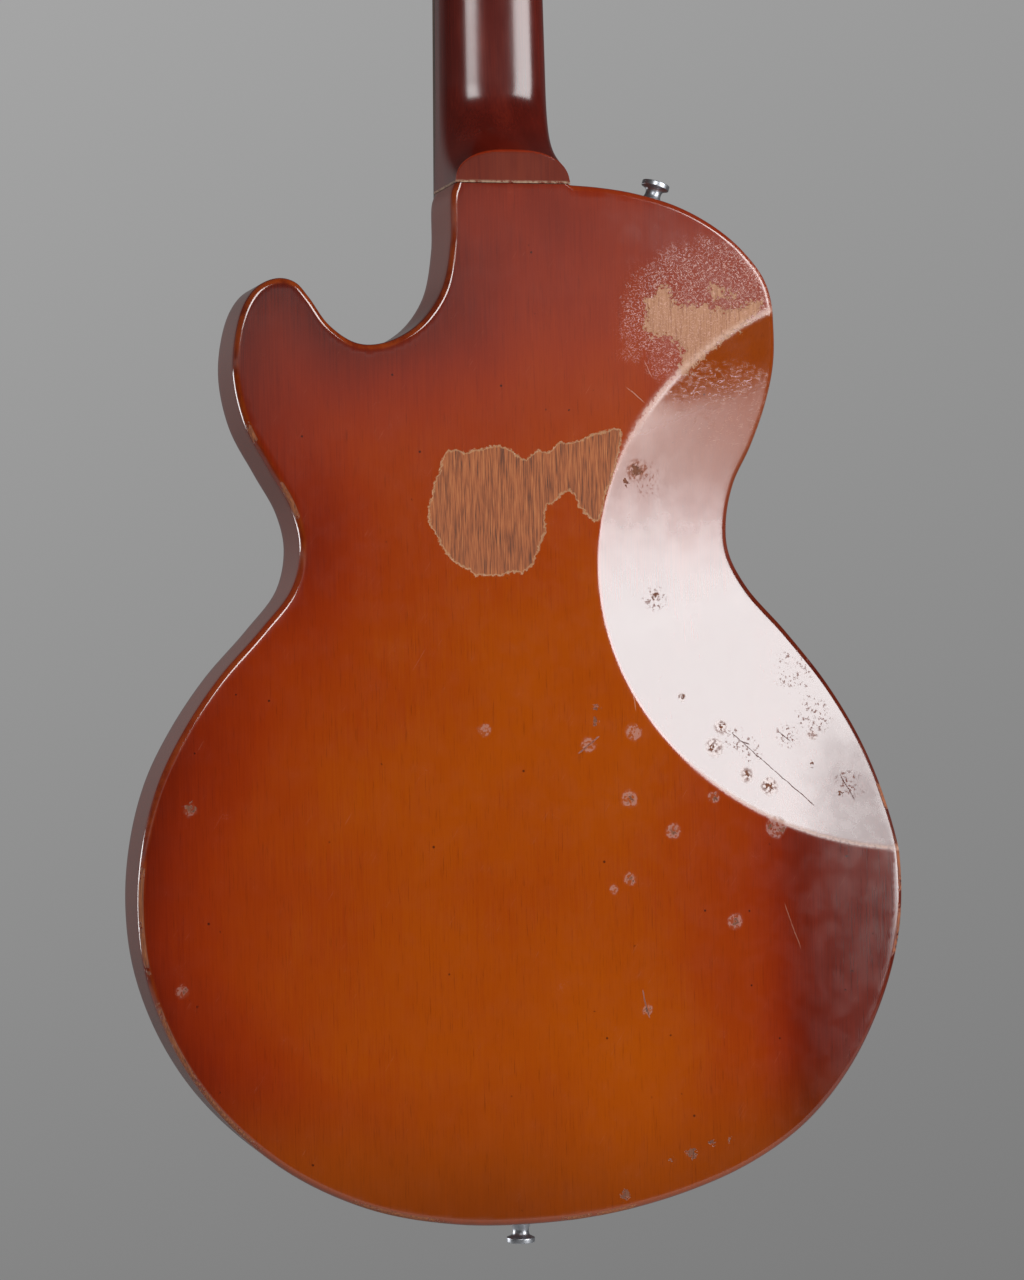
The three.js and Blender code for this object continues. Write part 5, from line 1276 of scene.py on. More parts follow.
bone, node, shader, mm = finish("bone of the nut", IOR=1.5)
fibre = mottle(node, mm, (3.0, 0.4, 0.4), 4.0)
colour = tinted(node("ValToRGB", fibre), (0.35, "cbb98f"), (0.6, "e3d8b8"))
dress(shader, colour, node("Math", fibre, 0.2, 0.25, **TIMES_PLUS), fibre, 0.01)
print("wood, fret wire, pearl and bone")

# %% Fingerboard
BOARD_THICK, BOARD_RADIUS = 6.35, 305.0
BOARD_EASE = 0.96  # from this share of its half width the board's top bends down to its edge
FRET_HALF, FRET_RISE = 1.35, 1.15
FOOT_HALF, FOOT_DEPTH = 0.3, 0.6
DOT_RADIUS, SIDE_DOT_RADIUS = 3.1, 1.0
DOT_FRETS = (3, 5, 7, 9, 15, 17, 19)


def camber(x):
    """How far the board's surface falls away beside its middle, along a circle: x^2 / 2r."""
    return x**2 / (2 * BOARD_RADIUS)


def board():
    """Sections along the board: a flat foot, square sides with eased edges, and the cambered top."""
    z = np.linspace(BOARD_END, 0, 90)
    half = board_width(z) / 2
    share = np.linspace(1, -1, 33)
    top = half[:, None] * share[None, :]
    bend = (np.maximum(0, np.abs(share) - BOARD_EASE) / (1 - BOARD_EASE)) ** 2
    level = camber(top) - BOARD_THICK + 0.5 * bend[None, :]
    side = np.linspace(0, 1, 5)[None, :-1] * level[:, :1]
    edge = half[:, None] + 0 * side
    x = np.hstack([edge, top, -edge])
    y = np.hstack([side, level, side[:, ::-1]])
    return np.stack([x, y, np.broadcast_to(z[:, None], x.shape)], -1)


shell = skin(board())
piece("fingerboard_shell", *shell, rosewood, "fingerboard_wood", stands_for=["fingerboard"], crease=40)


def fret(number):
    """Fret wire across the board: a foot and a half-round crown, lowered at both ends by a bevel."""
    z = fret_at(number)
    half = board_width(z) / 2 - 0.4
    angle = np.linspace(0, math.pi, 15)
    foot = [-FRET_HALF, -FOOT_HALF, -FOOT_HALF, FOOT_HALF, FOOT_HALF]
    across = np.concatenate([[FRET_HALF], FRET_HALF * np.cos(angle), foot])
    crown = FRET_RISE * np.sin(angle) ** 0.8 + 0.05
    rise = np.concatenate([[-0.05], crown, [-0.05, -0.05, -FOOT_DEPTH, -FOOT_DEPTH, -0.05]])
    x = half * np.concatenate([[-1, -0.985, -0.965], np.linspace(-0.94, 0.94, 25), [0.965, 0.985, 1]])
    squash = np.concatenate([[0.25, 0.7, 0.92], np.ones(25), [0.92, 0.7, 0.25]])
    level = camber(x) - BOARD_THICK
    y = level[:, None] - np.where(rise > 0, rise * squash[:, None], rise)
    rings = np.stack([np.broadcast_to(x[:, None], y.shape), y, np.broadcast_to(z + across, y.shape)], -1)
    return skin(rings)


for number in range(1, FRETS + 1):
    piece(f"fret_{number:02d}", *fret(number), fret_wire, "fingerboard_wood")
spots = [(0, place) for place in DOT_FRETS] + [(-10.5, 12), (10.5, 12)]
side_profile = eased([[AXIS, 0.0], [SIDE_DOT_RADIUS, 0.0], [SIDE_DOT_RADIUS, 0.9], [AXIS, 0.9]], 0.1, 3)
for number, (across, place) in enumerate(spots):
    z = (fret_at(place) + fret_at(place - 1)) / 2
    top = camber(across) - BOARD_THICK - 0.06
    profile = [[AXIS, top], [DOT_RADIUS, top], [DOT_RADIUS, top + 0.66], [AXIS, top + 0.66]]
    shell = placed(turned(eased(profile, 0.1, 3), 40), (across, 0, z))
    piece(f"dot_{number}", *shell, pearl, "fingerboard_wood")
    if across <= 0:
        shell = placed(turned(side_profile, 24), (-board_width(z) / 2, -3.2, z), (1, 0, 0))
        piece(f"side_dot_{number}", *shell, pearl, "fingerboard_wood")
print("fingerboard,", FRETS, "frets and", len(spots), "dots")

# %% [markdown]
# The nut is a block of bone, rounded in front of the headstock and sawn with one slot per string.
# The slots are cut by bending the top line of the sections round each string.

# %% Strings' places
NOTES = "eadg"
THICKNESS = dict(zip(NOTES, (2.54, 2.03, 1.65, 1.14)))
SPREAD = dict(zip(NOTES, (-1.5, -0.5, 0.5, 1.5)))
NUT_STEP, BRIDGE_STEP = 10.0, 18.0  # from one string to the next
NUT_LEVEL, BRIDGE_LEVEL = -8.15, -12.55  # a string's underside there, if it ran at x = 0
BALL_SEAT, TAIL_DROP = -799.2, 1.6
BEND_Z = -SCALE - 6.2  # the string bends over the saddle here


def string_at(note, z):
    """A string's x and y at a place along it: a straight line from the saddle to the nut."""
    radius = THICKNESS[note] / 2
    nut_x, bridge_x = SPREAD[note] * NUT_STEP, SPREAD[note] * BRIDGE_STEP
    nut_y = camber(nut_x) + NUT_LEVEL - radius
    bridge_y = camber(bridge_x) + BRIDGE_LEVEL - radius
    share = -z / SCALE
    return nut_x + (bridge_x - nut_x) * share, nut_y + (bridge_y - nut_y) * share


for note in NOTES:
    print(note, "string", THICKNESS[note], "mm thick, at the nut", string_at(note, 0))

# %% Nut
def nut():
    """Sections from the fingerboard to the headstock. Over each string the top dips to a half-round
    slot: y = middle + sqrt(r^2 - (x - place)^2)."""
    half = NUT_WIDTH / 2
    x = np.linspace(half, -half, 500)
    foot = np.linspace(0.3, math.pi / 2, 5)
    brow = np.linspace(0.2, math.pi / 2, 9)
    z = np.concatenate([
        [0.3], 0.3 + 0.35 * (1 - np.cos(foot)), np.linspace(1.0, 3.4, 6), 3.4 + 1.6 * np.sin(brow),
    ])
    lift = np.concatenate([[0.45], 0.35 * (1 - np.sin(foot)), np.zeros(6), 1.6 * (1 - np.cos(brow))])
    ends = 0.8 * (1 - np.sqrt(1 - ((np.abs(x) - half + 0.8) / 0.8).clip(0, 1) ** 2))
    rows = []
    for place, drop in zip(z, lift):
        top = camber(x) - 9.15 + drop + ends
        for note in NOTES:
            nut_x, nut_y = string_at(note, 0)
            reach = THICKNESS[note] / 2 + 0.05
            near = np.abs(x - nut_x) < reach
            bowl = nut_y + np.sqrt(np.maximum(reach**2 - (x - nut_x) ** 2, 0))
            top = np.where(near, np.maximum(top, bowl), top)
        row = np.column_stack([x, top, np.full(len(x), place)])
        rows.append(np.vstack([[half, 0, place], row, [-half, 0, place]]))
    return skin(np.array(rows))


piece("nut_shell", *nut(), bone, "bone", stands_for=["nut"], crease=50)

# %% [markdown]
# Each string is a steel core with a close steel winding. Away from its ends the winding is one long
# screw thread: the string's surface rises and falls once per turn of wrap wire. That is far too fine
# to model over 800 mm, so the thread is relief in the finish, with the wire's real pitch. Its colour is
# painted too: darker shade in the grooves between turns, a lighter highlight on the crests.

# %% Wound strings
def on_path(path, spacing):
    """A path's points at a spacing, with a frame of two unit vectors square to it at each. The frame
    is carried along without twist: each step removes from the last one its part along the path."""
    points = evenly(path, spacing)
    way = np.gradient(points, axis=0)
    way /= np.linalg.norm(way, axis=1, keepdims=True)
    side = np.empty_like(points)
    last = np.array([0.0, 1.0, 0.0])
    for k, direction in enumerate(way):
        last = last - direction * (last @ direction)
        last /= np.linalg.norm(last)
        side[k] = last
    return points, side, np.cross(way, side)


def tube(path, radius, spacing, sides=20):
    """A round bar along a path, with its ends closed, and each point's distance along it."""
    points, side, other = on_path(path, spacing)
    angle = 2 * math.pi * np.arange(sides)[None, :, None] / sides
    rings = points[:, None] + radius * (np.cos(angle) * side[:, None] + np.sin(angle) * other[:, None])
    along = np.concatenate([[0], np.cumsum(np.linalg.norm(np.diff(points, axis=0), axis=1))])
    return skin(rings), np.repeat(along, sides)


def string_path(note):
    """From the ball behind the bridge over saddle and nut, then round the post as a screw line: at
    each turn the angle grows by 2 pi and the height by the string's thickness and a small gap."""
    radius = THICKNESS[note] / 2
    tail_x, tail_y = string_at(note, BALL_SEAT)
    tail_y += TAIL_DROP
    nut_x, nut_y = string_at(note, 0)
    leave = 5.0
    straight = [
        [tail_x, tail_y, BALL_SEAT - GAP - 2.6], [tail_x, tail_y, BALL_SEAT + 4],
        [*string_at(note, BEND_Z), BEND_Z], [nut_x, nut_y, 0], [nut_x, nut_y, leave],
    ]
    leave_z = nut_y * math.sin(TILT) + (leave - HEAD_PIVOT) * math.cos(TILT)
    post_x, post_z, side = POSTS[note]
    reach = POST_WAIST + GAP + radius
    across, along = side * (post_x - nut_x), post_z - leave_z
    first = math.atan2(across, along) - math.asin(reach / math.hypot(across, along))
    turn = np.linspace(0, 1.75, 71)
    angle = first + 2 * math.pi * turn
    level = WAIST_BACK - GAP - radius - (2 * radius + 0.45) * turn
    winding = np.column_stack([
        post_x - side * reach * np.cos(angle), level, post_z + reach * np.sin(angle),
    ])
    onward = winding[-1] - winding[-2]
    end = winding[-1] + onward * 2 * radius / np.linalg.norm(onward)
    return np.vstack([straight, tilted(np.vstack([winding, end]))])


WRAP_PITCH = 0.45
wound, node, shader, mm = finish("nickel-plated steel winding of the strings", Metallic=1.0)
along = node("Attribute", attribute_name="along").outputs["Fac"]
thread_and_groove_shade = node("Math", node("Math", along, math.pi / WRAP_PITCH, **TIMES), operation="SINE")
thread_and_groove_shade = node("Math", thread_and_groove_shade, **ALWAYS_POSITIVE)
dull = mottle(node, mm, (2.0, 2.0, 9.0), 4.0)
# painted shade and highlight: the colour darkens in the grooves between turns and brightens on the crests
tone = node("Math", thread_and_groove_shade, 0.5, node("Math", dull, 0.6, **TIMES), **TIMES_PLUS)
colour = tinted(node("ValToRGB", tone), (0.2, "4f4a43"), (0.55, "a19c92"), (0.9, "c9c5bb"))
dress(shader, colour, node("Math", dull, 0.3, 0.18, **TIMES_PLUS), thread_and_groove_shade, 0.08)
brass = metal("brass, browned by air", "a98f62", "92764a", 0.24, 0.1, 5.0, (0.3, 0.3, 0.3), 0.005)
spacing = 0.9
ball = eased([
    [0.7, -2.2], [2.6, -2.2], [2.6, -0.9], [2.0, -0.5], [2.0, 0.5], [2.6, 0.9], [2.6, 2.2], [0.7, 2.2],
    [0.7, -2.2],
], 0.25)
for note in NOTES:
    path = string_path(note)
    shell, along = tube(path, THICKNESS[note] / 2, spacing)
    stands_for = [f"string_{note}"]
    made = piece(f"string_{note}_shell", *shell, wound, "string_steel", stands_for=stands_for, crease=60)
    set_fields(made, {"along": along})
    piece(f"ball_{note}", *placed(turned(ball, 40), path[0], (1, 0, 0)), brass, "string_steel")
print("four strings with their balls")

# %% [markdown]
# Flat hardware is cut from sheet: a pickguard, a rod cover, a headstock veneer. Where an outline is
# cut by other outlines, all of them are triangulated together, the triangles that belong to the
# piece are kept, and walls rise from every edge that only one triangle has.

# %% Sheet pieces
def sheet(outlines, keep, front, back):
    """A flat piece between two levels of y, from all outlines' triangles whose middles pass keep()."""
    flat, triangles = triangulated(outlines)
    triangles = triangles[keep(flat[triangles].mean(1))]
    sides = np.sort(np.vstack([triangles[:, [0, 1]], triangles[:, [1, 2]], triangles[:, [2, 0]]]), axis=1)
    sides, times = np.unique(sides, axis=0, return_counts=True)
    border = sides[times == 1]
    points = np.vstack([at_level(flat, level) for level in (front, back)])
    walls = np.column_stack([border, border[:, ::-1] + len(flat)])
    return points, [triangles, triangles + len(flat), walls]


def softened(made, width, segments=3):
    """A bevel on every edge sharper than 35 degrees, as filing and polishing leave it."""
    bevel = made.modifiers.new("softened edges", "BEVEL")
    bevel.width, bevel.segments = width * MM, segments
    bevel.limit_method, bevel.angle_limit = "ANGLE", math.radians(35)
    bevel.harden_normals = True


def round_rectangle(x, z, half_x, half_z, radius, steps=8):
    """A rectangle's outline with its corners rounded by quarter circles."""
    turn = np.linspace(0, math.pi / 2, steps)
    made = []
    for quarter, (sx, sz) in enumerate(((1, 1), (-1, 1), (-1, -1), (1, -1))):
        angle = turn + quarter * math.pi / 2
        corner = [x + sx * (half_x - radius), z + sz * (half_z - radius)]
        made.append(corner + radius * np.column_stack([np.cos(angle), np.sin(angle)]))
    return np.vstack(made)


# %% [markdown]
# Pickguard, knobs and pickup ring are moulded or laminated black plastic. It shows a soft sheen and
# the fine hairs that a cloth and a pick leave. The pickguard is a laminate of three layers, so its
# bevelled edge shows a white line. The old nickel plate is warm and slightly clouded.

# %% Plastics and nickel
def plastic(name, base, light, ply=None):
    """Glossy plastic with fine scratches: long thin noise lowers the gloss. A laminate shows its
    white middle layer between two levels of y."""
    made, node, shader, mm = finish(name, IOR=1.5)
    smear = mottle(node, mm, (9.0, 9.0, 9.0))
    standing = node("MapRange", mottle(node, mm, (0.25, 6.0, 6.0), 2.0), 0.66, 0.8, **SMOOTH)
    lying = node("MapRange", mottle(node, mm, (7.0, 6.0, 0.3), 2.0), 0.7, 0.84, **SMOOTH)
    hairs = node("Math", standing, lying, **LARGER)
    colour = tinted(node("ValToRGB", smear), (0.3, base), (0.7, light))
    if ply:
        front, back = ply
        level = node("SeparateXYZ", mm).outputs["Y"]
        white = band(node, level, (front - 0.03, front + 0.03), (back + 0.03, back - 0.03))
        colour = node("Mix", white, colour, "d8d3c4", **BLEND)
    gloss = node("Math", hairs, 0.1, node("Math", smear, 0.1, 0.1, **TIMES_PLUS), **TIMES_PLUS)
    dress(shader, colour, gloss, hairs, 0.001)
    return made


guard_black = plastic("three-ply black pickguard", "0b0b0c", "151517", ply=(-1.65, -0.85))
black = plastic("black moulded plastic", "0c0c0d", "18181a")
veneer_black = plastic("black lacquered headstock face", "0a090a", "121013")
nickel = metal("aged nickel plate", "bdbab2", "aaa69c", 0.17, 0.08, 14.0, (0.25, 0.25, 0.25), 0.002)
print("three black plastics and nickel")

# %% Pickguard, headstock face and rod cover
GUARD_FACE, RING_FACE, VENEER_FACE, COVER_FACE = -2.5, -4.0, -1.8, -4.1
GUARD = on_body([
    [0.3, 0.175], [0.45, 0.184], [0.61, 0.178], [0.67, 0.206], [0.64, 0.26], [0.55, 0.31], [0.5, 0.349],
    [0.53, 0.397], [0.64, 0.462], [0.77, 0.538], [0.85, 0.604], [0.89, 0.669], [0.89, 0.723],
    [0.84, 0.784], [0.74, 0.843], [0.6, 0.871], [0.45, 0.858], [0.38, 0.81], [0.35, 0.756],
    [0.35, 0.636], [0.33, 0.582], [0.27, 0.538], [0.25, 0.484], [0.25, 0.375], [0.26, 0.288],
    [0.3, 0.267],
])
guard_line = smooth_curve(GUARD, 12, closed=True)
board_half = board_width(BOARD_END) / 2 + 1.5
rooms = [  # cut out for the pickup ring, the bridge, the fingerboard and the three controls
    round_rectangle(0, PICKUP_Z, 50.5, 29.5, 4.0),
    rectangle(-80, 54.5, -800.7, -755.7),
    rectangle(-board_half, board_half, BOARD_END - 1.5, -400.0),
    *(circle(*place, 5.0, 48) for place in CONTROLS.values()),
]


def kept_by(outline, holes):
    """A test for points: true inside the outline and outside every hole."""
    def test(points):
        """One true or false for each point."""
        return inside(points, outline) & ~np.any([inside(points, hole) for hole in holes], axis=0)
    return test


shell = sheet([guard_line, *rooms], kept_by(guard_line, rooms), GUARD_FACE, 0.0)
made = piece("pickguard_shell", *shell, guard_black, "black_plastic", stands_for=["pickguard"])
softened(made, 0.45)

VENEER_INSET = 0.6
inset = head_outline * [1 - VENEER_INSET / HEAD_HALF, 1] - [0, VENEER_INSET]
head_rooms = [
    rectangle(-5.7, 5.7, -20.0, 31.0 - HEAD_PIVOT),
    *(circle(x, z, 6.5, 48) for x, z, side in POSTS.values()),
]
points, faces = sheet([inset, *head_rooms], kept_by(inset, head_rooms), VENEER_FACE, -GAP)
shell = tilted(points), faces
made = piece("veneer_shell", *shell, veneer_black, "black_plastic", stands_for=["headstock_veneer"])
softened(made, 0.3, 2)
bell = np.array([[1, 0], [1, 0.2], [0.8, 0.5], [0.45, 0.85], [0, 1]]) * [12.0, 42.0] + [0, 1.5]
points, faces = plate(both_halves(smooth_curve(bell, 8)), COVER_FACE, COVER_FACE + 2.0, 0.5)
piece("rod_cover_shell", tilted(points), faces, black, "black_plastic", stands_for=["truss_rod_cover"])
print("guard, veneer and rod cover cut")

# %% [markdown]
# Small screws have a slotted oval head. The slot is made by standing two half-moon plates on a turned
# disc, which leaves the gap between them open.

# %% Screws
def half_moons(radius, top, depth, slot, rounding=0.2):
    """Two half discs on either side of a slot, from top to top + depth along y."""
    shells = []
    for side in (1, -1):
        start = math.asin(slot / radius)
        angle = np.linspace(start, math.pi - start, 24)
        outline = np.column_stack([radius * np.cos(angle), side * radius * np.sin(angle)])
        shells.append(plate(outline, top, top + depth, rounding, 3))
    return joined(*shells)


def wood_screw(radius, height, length):
    """A small screw whose head stands above y = 0 on the side of negative y."""
    disc = -height * 0.35
    profile = eased([
        [AXIS, disc], [radius, disc], [radius, 0.0], [1.1, 0.35], [1.0, length], [AXIS, length + 1.2],
    ], 0.12, 3)
    return joined(turned(profile, 28), half_moons(radius * 0.985, -height, height * 0.7, 0.28, 0.25))


def spun(shell, degrees):
    """A shell turned about the y axis."""
    points, faces = shell
    a = math.radians(degrees)
    x, y, z = points.T
    return np.column_stack([x * math.cos(a) + z * math.sin(a), y, z * math.cos(a) - x * math.sin(a)]), faces


guard_screws = [[0.62, 0.195], [0.46, 0.345], [0.85, 0.63], [0.7, 0.845], [0.41, 0.805], [0.28, 0.4]]
seats = [((x, GUARD_FACE, z), 27 * k, 2.1) for k, (x, z) in enumerate(on_body(guard_screws))]
for sx, sz in ((1, 1), (1, -1), (-1, 1), (-1, -1)):
    seats.append(((sx * 45.9, RING_FACE, PICKUP_Z + sz * 24.6), 40 * sx + 15 * sz, 1.7))
for number, (seat, degrees, radius) in enumerate(seats):
    shell = placed(spun(wood_screw(radius, 1.0, 6.0), degrees), seat)
    piece(f"small_screw_{number:02d}", *shell, steel, "steel")
for number, (x, z) in enumerate([(8.9, 5.5), (-8.9, 5.5), (0.0, 39.0)]):
    points, faces = placed(spun(wood_screw(1.5, 0.9, 5.0), 30 * number), (x, COVER_FACE, z))
    piece(f"cover_screw_{number}", tilted(points), faces, steel, "steel")
print(len(seats) + 3, "small screws")

# %% [markdown]
# A tuner is a worm drive. The key turns the worm, the worm turns a small brass gear, and the gear
# sits on the post that winds the string. Plate, bearings and worm are open to the eye here.

# %% Tuner pieces
GEAR_TEETH, GEAR_PITCH, WORM_RADIUS = 20, 2.83, 3.2
GEAR_RADIUS = GEAR_TEETH * GEAR_PITCH / (2 * math.pi)
WORM_Z = GEAR_RADIUS + WORM_RADIUS
PLATE_BACK = HEAD_THICK + GAP + 1.6
GEAR_Y = PLATE_BACK + WORM_RADIUS + 0.72 + GAP
GEAR_FRONT, GEAR_BACK = GEAR_Y - 1.5, GEAR_Y + 1.5


def gear():
    """A toothed wheel: each tooth is a trapezoid between a root and a tip circle."""
    root, tip = GEAR_RADIUS - 1.12, GEAR_RADIUS + 0.72
    middle = math.pi / 2 + 2 * math.pi * np.arange(GEAR_TEETH) / GEAR_TEETH
    half_root, half_tip = 0.75 / root, 0.35 / tip
    swing = np.array([-half_root, -half_tip, 0, half_tip, half_root])
    angle = middle[:, None] + swing
    radius = np.broadcast_to([root, tip, tip, tip, root], angle.shape)
    outline = np.column_stack([(radius * np.cos(angle)).ravel(), (radius * np.sin(angle)).ravel()])
    return plate(outline, GEAR_FRONT, GEAR_BACK, 0.12, 2, [circle(0, 0, 3.3, 40)])


def post():
    """The string post, slotted across its top, with the waist that the string is wound on."""
    profile = eased([
        [AXIS, -21.4], [5.0, -21.4], [5.0, -19.8], [POST_WAIST, -18.8], [POST_WAIST, WAIST_BACK],
        [5.0, WAIST_BACK + 1.0], [5.0, HEAD_THICK], [3.0, HEAD_THICK], [3.0, GEAR_BACK + GAP],
        [4.6, GEAR_BACK + GAP], [4.6, GEAR_BACK + 1.0], [AXIS, GEAR_BACK + 1.0],
    ], 0.35)
    top = half_moons(5.0, -23.8, 2.6, 1.2, 0.4)
    foot = half_moons(4.5, GEAR_BACK + 0.8, 1.1, 0.5, 0.25)
    return joined(turned(profile, 56), top, foot)


def worm():
    """The worm's rib: a trapezoid section carried along a screw line, one gear pitch per turn."""
    reach = 1.25
    turns = np.linspace(-reach, reach, 129)
    angle = 2 * math.pi * turns
    ends = np.minimum(1, (reach - np.abs(turns)) / 0.12 + 0.3)
    foot = np.full(len(turns), WORM_RADIUS - 1.42)
    tip = foot + 2.14 * ends
    section = ((foot, -0.62), (tip - 0.1, -0.3), (tip, -0.2), (tip, 0.2), (tip - 0.1, 0.3), (foot, 0.62))
    rings = np.stack([
        np.column_stack([offset + GEAR_PITCH * (turns - 0.25), r * np.cos(angle), r * np.sin(angle)])
        for r, offset in section
    ], 1)
    return skin(rings)


def key(side):
    """Shaft, worm and paddle of one key, round the x axis. The paddle's outline is rounded by a
    profile as thick as the paddle, so that it feels smooth."""
    half = np.array([[0, 0.25], [0.1, 0.3], [0.2, 0.75], [0.45, 1], [0.75, 0.92], [0.97, 0.5], [1, 0]])
    outline = both_halves(smooth_curve(half * [25.0, 13.0], 8), (1, -1)) * [side, 1] + [side * 26.0, 0]
    paddle = plate(outline, -2.0, 2.0, 1.7, 7)
    bearing, blade, collar = -side * 9.67, side * 27.5, side * 23.5
    shells = [worm(), paddle]
    for radius, ends, ease in (
        (2.08, (-6.07, 6.07), 0.2), (1.9, (bearing, blade), 0.3), (2.9, (collar - 1.6, collar + 1.6), 0.7),
    ):
        low, high = min(ends), max(ends)
        profile = eased([[AXIS, low], [radius, low], [radius, high], [AXIS, high]], ease)
        shells.append(placed(turned(profile, 40), axis=(1, 0, 0)))
    return joined(*shells)


def bushing():
    """A ring pressed into the headstock's face, its flange rounded towards the string."""
    seat = VENEER_FACE - GAP
    ring = eased([
        [5.3, seat - 1.0], [7.0, seat - 1.0], [7.0, seat], [6.2, seat], [6.2, seat + 6.0],
        [5.3, seat + 6.0], [5.3, seat - 1.0],
    ], 0.35)
    return turned(ring, 56)


TUNER_SCREWS = [(0.0, 16.4), (10.2, -9.8), (-10.2, -9.8)]
for note in NOTES:
    x, z, side = POSTS[note]
    for what, shell, look, slot_name, rider in (
        ("gear", gear(), brass, "brass", f"tuner_post_{note}"),
        ("post", post(), nickel, "nickel", f"tuner_post_{note}"),
        ("bushing", bushing(), nickel, "nickel", "instrument"),
        ("key", placed(key(side), (0, GEAR_Y, WORM_Z)), nickel, "nickel", f"tuner_key_{note}"),
    ):
        points, faces = placed(shell, (x, 0, z))
        stands_for = [f"tuner_{what}_{note}"]
        piece(f"{what}_{note}_shell", tilted(points), faces, look, slot_name, rider, stands_for)
    for number, (across, above) in enumerate(TUNER_SCREWS):
        points, faces = spun(wood_screw(1.6, 1.0, 8.0), 50 * number + 10)
        points = points * [1, -1, 1] + [x + across, PLATE_BACK, z + above]
        piece(f"tuner_screw_{note}_{number}", tilted(points), faces, steel, "steel")
print("four tuners")

# %% [markdown]
# The bridge, its saddles and the tuner plates are cast or stamped blocks. Their CAD shapes are right,
# so copies of them are used, with doubles merged and flat faces made whole, and their edges softened.

# %% Softened copies of CAD nodes
def copied(source, look, width, rider="instrument"):
    """A copy of a CAD node's mesh, merged and cleaned, with a bevel on its edges."""
    mesh = bpy.data.objects[source].data.copy()
    work = bmesh.new()
    work.from_mesh(mesh)
    bmesh.ops.remove_doubles(work, verts=work.verts, dist=2e-6)
    bmesh.ops.dissolve_limit(work, angle_limit=math.radians(1), verts=work.verts, edges=work.edges)
    bmesh.ops.recalc_face_normals(work, faces=work.faces)
    work.to_mesh(mesh)
    work.free()
    mesh.materials.clear()
    mesh.materials.append(look)
    mesh.shade_smooth()
    mesh.set_sharp_from_angle(angle=math.radians(30))
    made = bpy.data.objects.new(f"{source}_shell", mesh)
    scene.collection.objects.link(made)
    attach(made, rider)
    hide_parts(source)
    softened(made, width)


copied("bridge", nickel, 0.5)
for note in NOTES:
    copied(f"saddle_{note}", brass, 0.35, f"saddle_{note}")
    copied(f"tuner_plate_{note}", nickel, 0.3)
print("bridge, four saddles and four tuner plates")

# %% [markdown]
# Four long screws draw the saddles back and forth, and two studs carry the bridge. The screws'
# threads are real grooves here, because a close view shows them between the saddles and the bridge.

# %% Intonation screws and studs
def threaded(radius, start, end, pitch, depth):
    """A screw's shank along y. Its radius falls and rises once per pitch, and the place of the crest
    moves once round per turn: r - depth * |2 frac(y / pitch - angle / 2 pi) - 1|."""
    y = np.arange(start, end, pitch / 6)
    angle = 2 * math.pi * np.arange(24) / 24
    phase = (y[:, None] / pitch - angle[None, :] / (2 * math.pi)) % 1
    r = radius - depth * np.abs(2 * phase - 1)
    rings = np.stack([r * np.cos(angle), np.broadcast_to(y[:, None], r.shape), r * np.sin(angle)], -1)
    return skin(rings)


for note in NOTES:
    shank = threaded(1.25, 0.0, 42.1, 0.5, 0.12)
    cap = turned(eased([[AXIS, -1.0], [2.3, -1.0], [2.3, 0.0], [AXIS, 0.0]], 0.2), 40)
    shell = joined(shank, cap, half_moons(2.25, -2.2, 1.3, 0.6, 0.25))
    shell = placed(shell, (SPREAD[note] * BRIDGE_STEP + 4.9, -8.3, BALL_SEAT - GAP), (0, 0, 1))
    name = f"intonation_screw_{note}"
    piece(f"{name}_shell", *shell, steel, "steel", name, [name])
stud = eased([
    [AXIS, 18.0], [3.9, 18.0], [3.9, -1.1], [6.2, -1.1], [6.2, -3.9], [3.5, -3.9], [3.5, -8.6],
    [5.6, -8.6], [5.6, -9.8], [AXIS, -9.8],
], 0.35)
ring = eased([
    [4.2, -0.8], [7.0, -0.8], [7.0, 0.0], [5.6, 0.0], [5.6, 20.0], [4.2, 20.0], [4.2, -0.8],
], 0.25)
for name, x, degrees in (("bass", -STUD_X, -35), ("treble", STUD_X, 20)):
    shell = joined(turned(stud, 56), half_moons(5.5, -11.0, 1.4, 0.6, 0.4))
    shell = placed(spun(shell, degrees), (x, 0, STUD_Z))
    piece(f"stud_{name}_shell", *shell, nickel, "nickel", stands_for=[f"bridge_stud_{name}"])
    shell = placed(turned(ring, 48), (x, 0, STUD_Z))
    piece(f"stud_bushing_{name}_shell", *shell, brass, "brass", stands_for=[f"stud_bushing_{name}"])
print("four intonation screws and two studs")

# %% [markdown]
# The pickup is a bobbin under a drawn metal cover. Four magnet ends show through it, one below each
# string. A black plastic ring holds it to the body.

# %% Pickup
ring_line = round_rectangle(0, PICKUP_Z, 49.0, 28.0, 3.5)
opening = round_rectangle(0, PICKUP_Z, 43.3, 21.3, 2.6)
shell = plate(ring_line, RING_FACE, 0.0, 1.1, 5, [opening])
piece("pickup_ring_shell", *shell, black, "black_plastic", stands_for=["pickup_ring"])
poles = [string_at(note, PICKUP_Z)[0] for note in NOTES]
pole_holes = [circle(x, PICKUP_Z, 2.2, 32) for x in poles]
COVER_TOP, COVER_CEILING, COVER_FOOT, COVER_ROUND = -8.5, -7.6, 8.0, 1.6


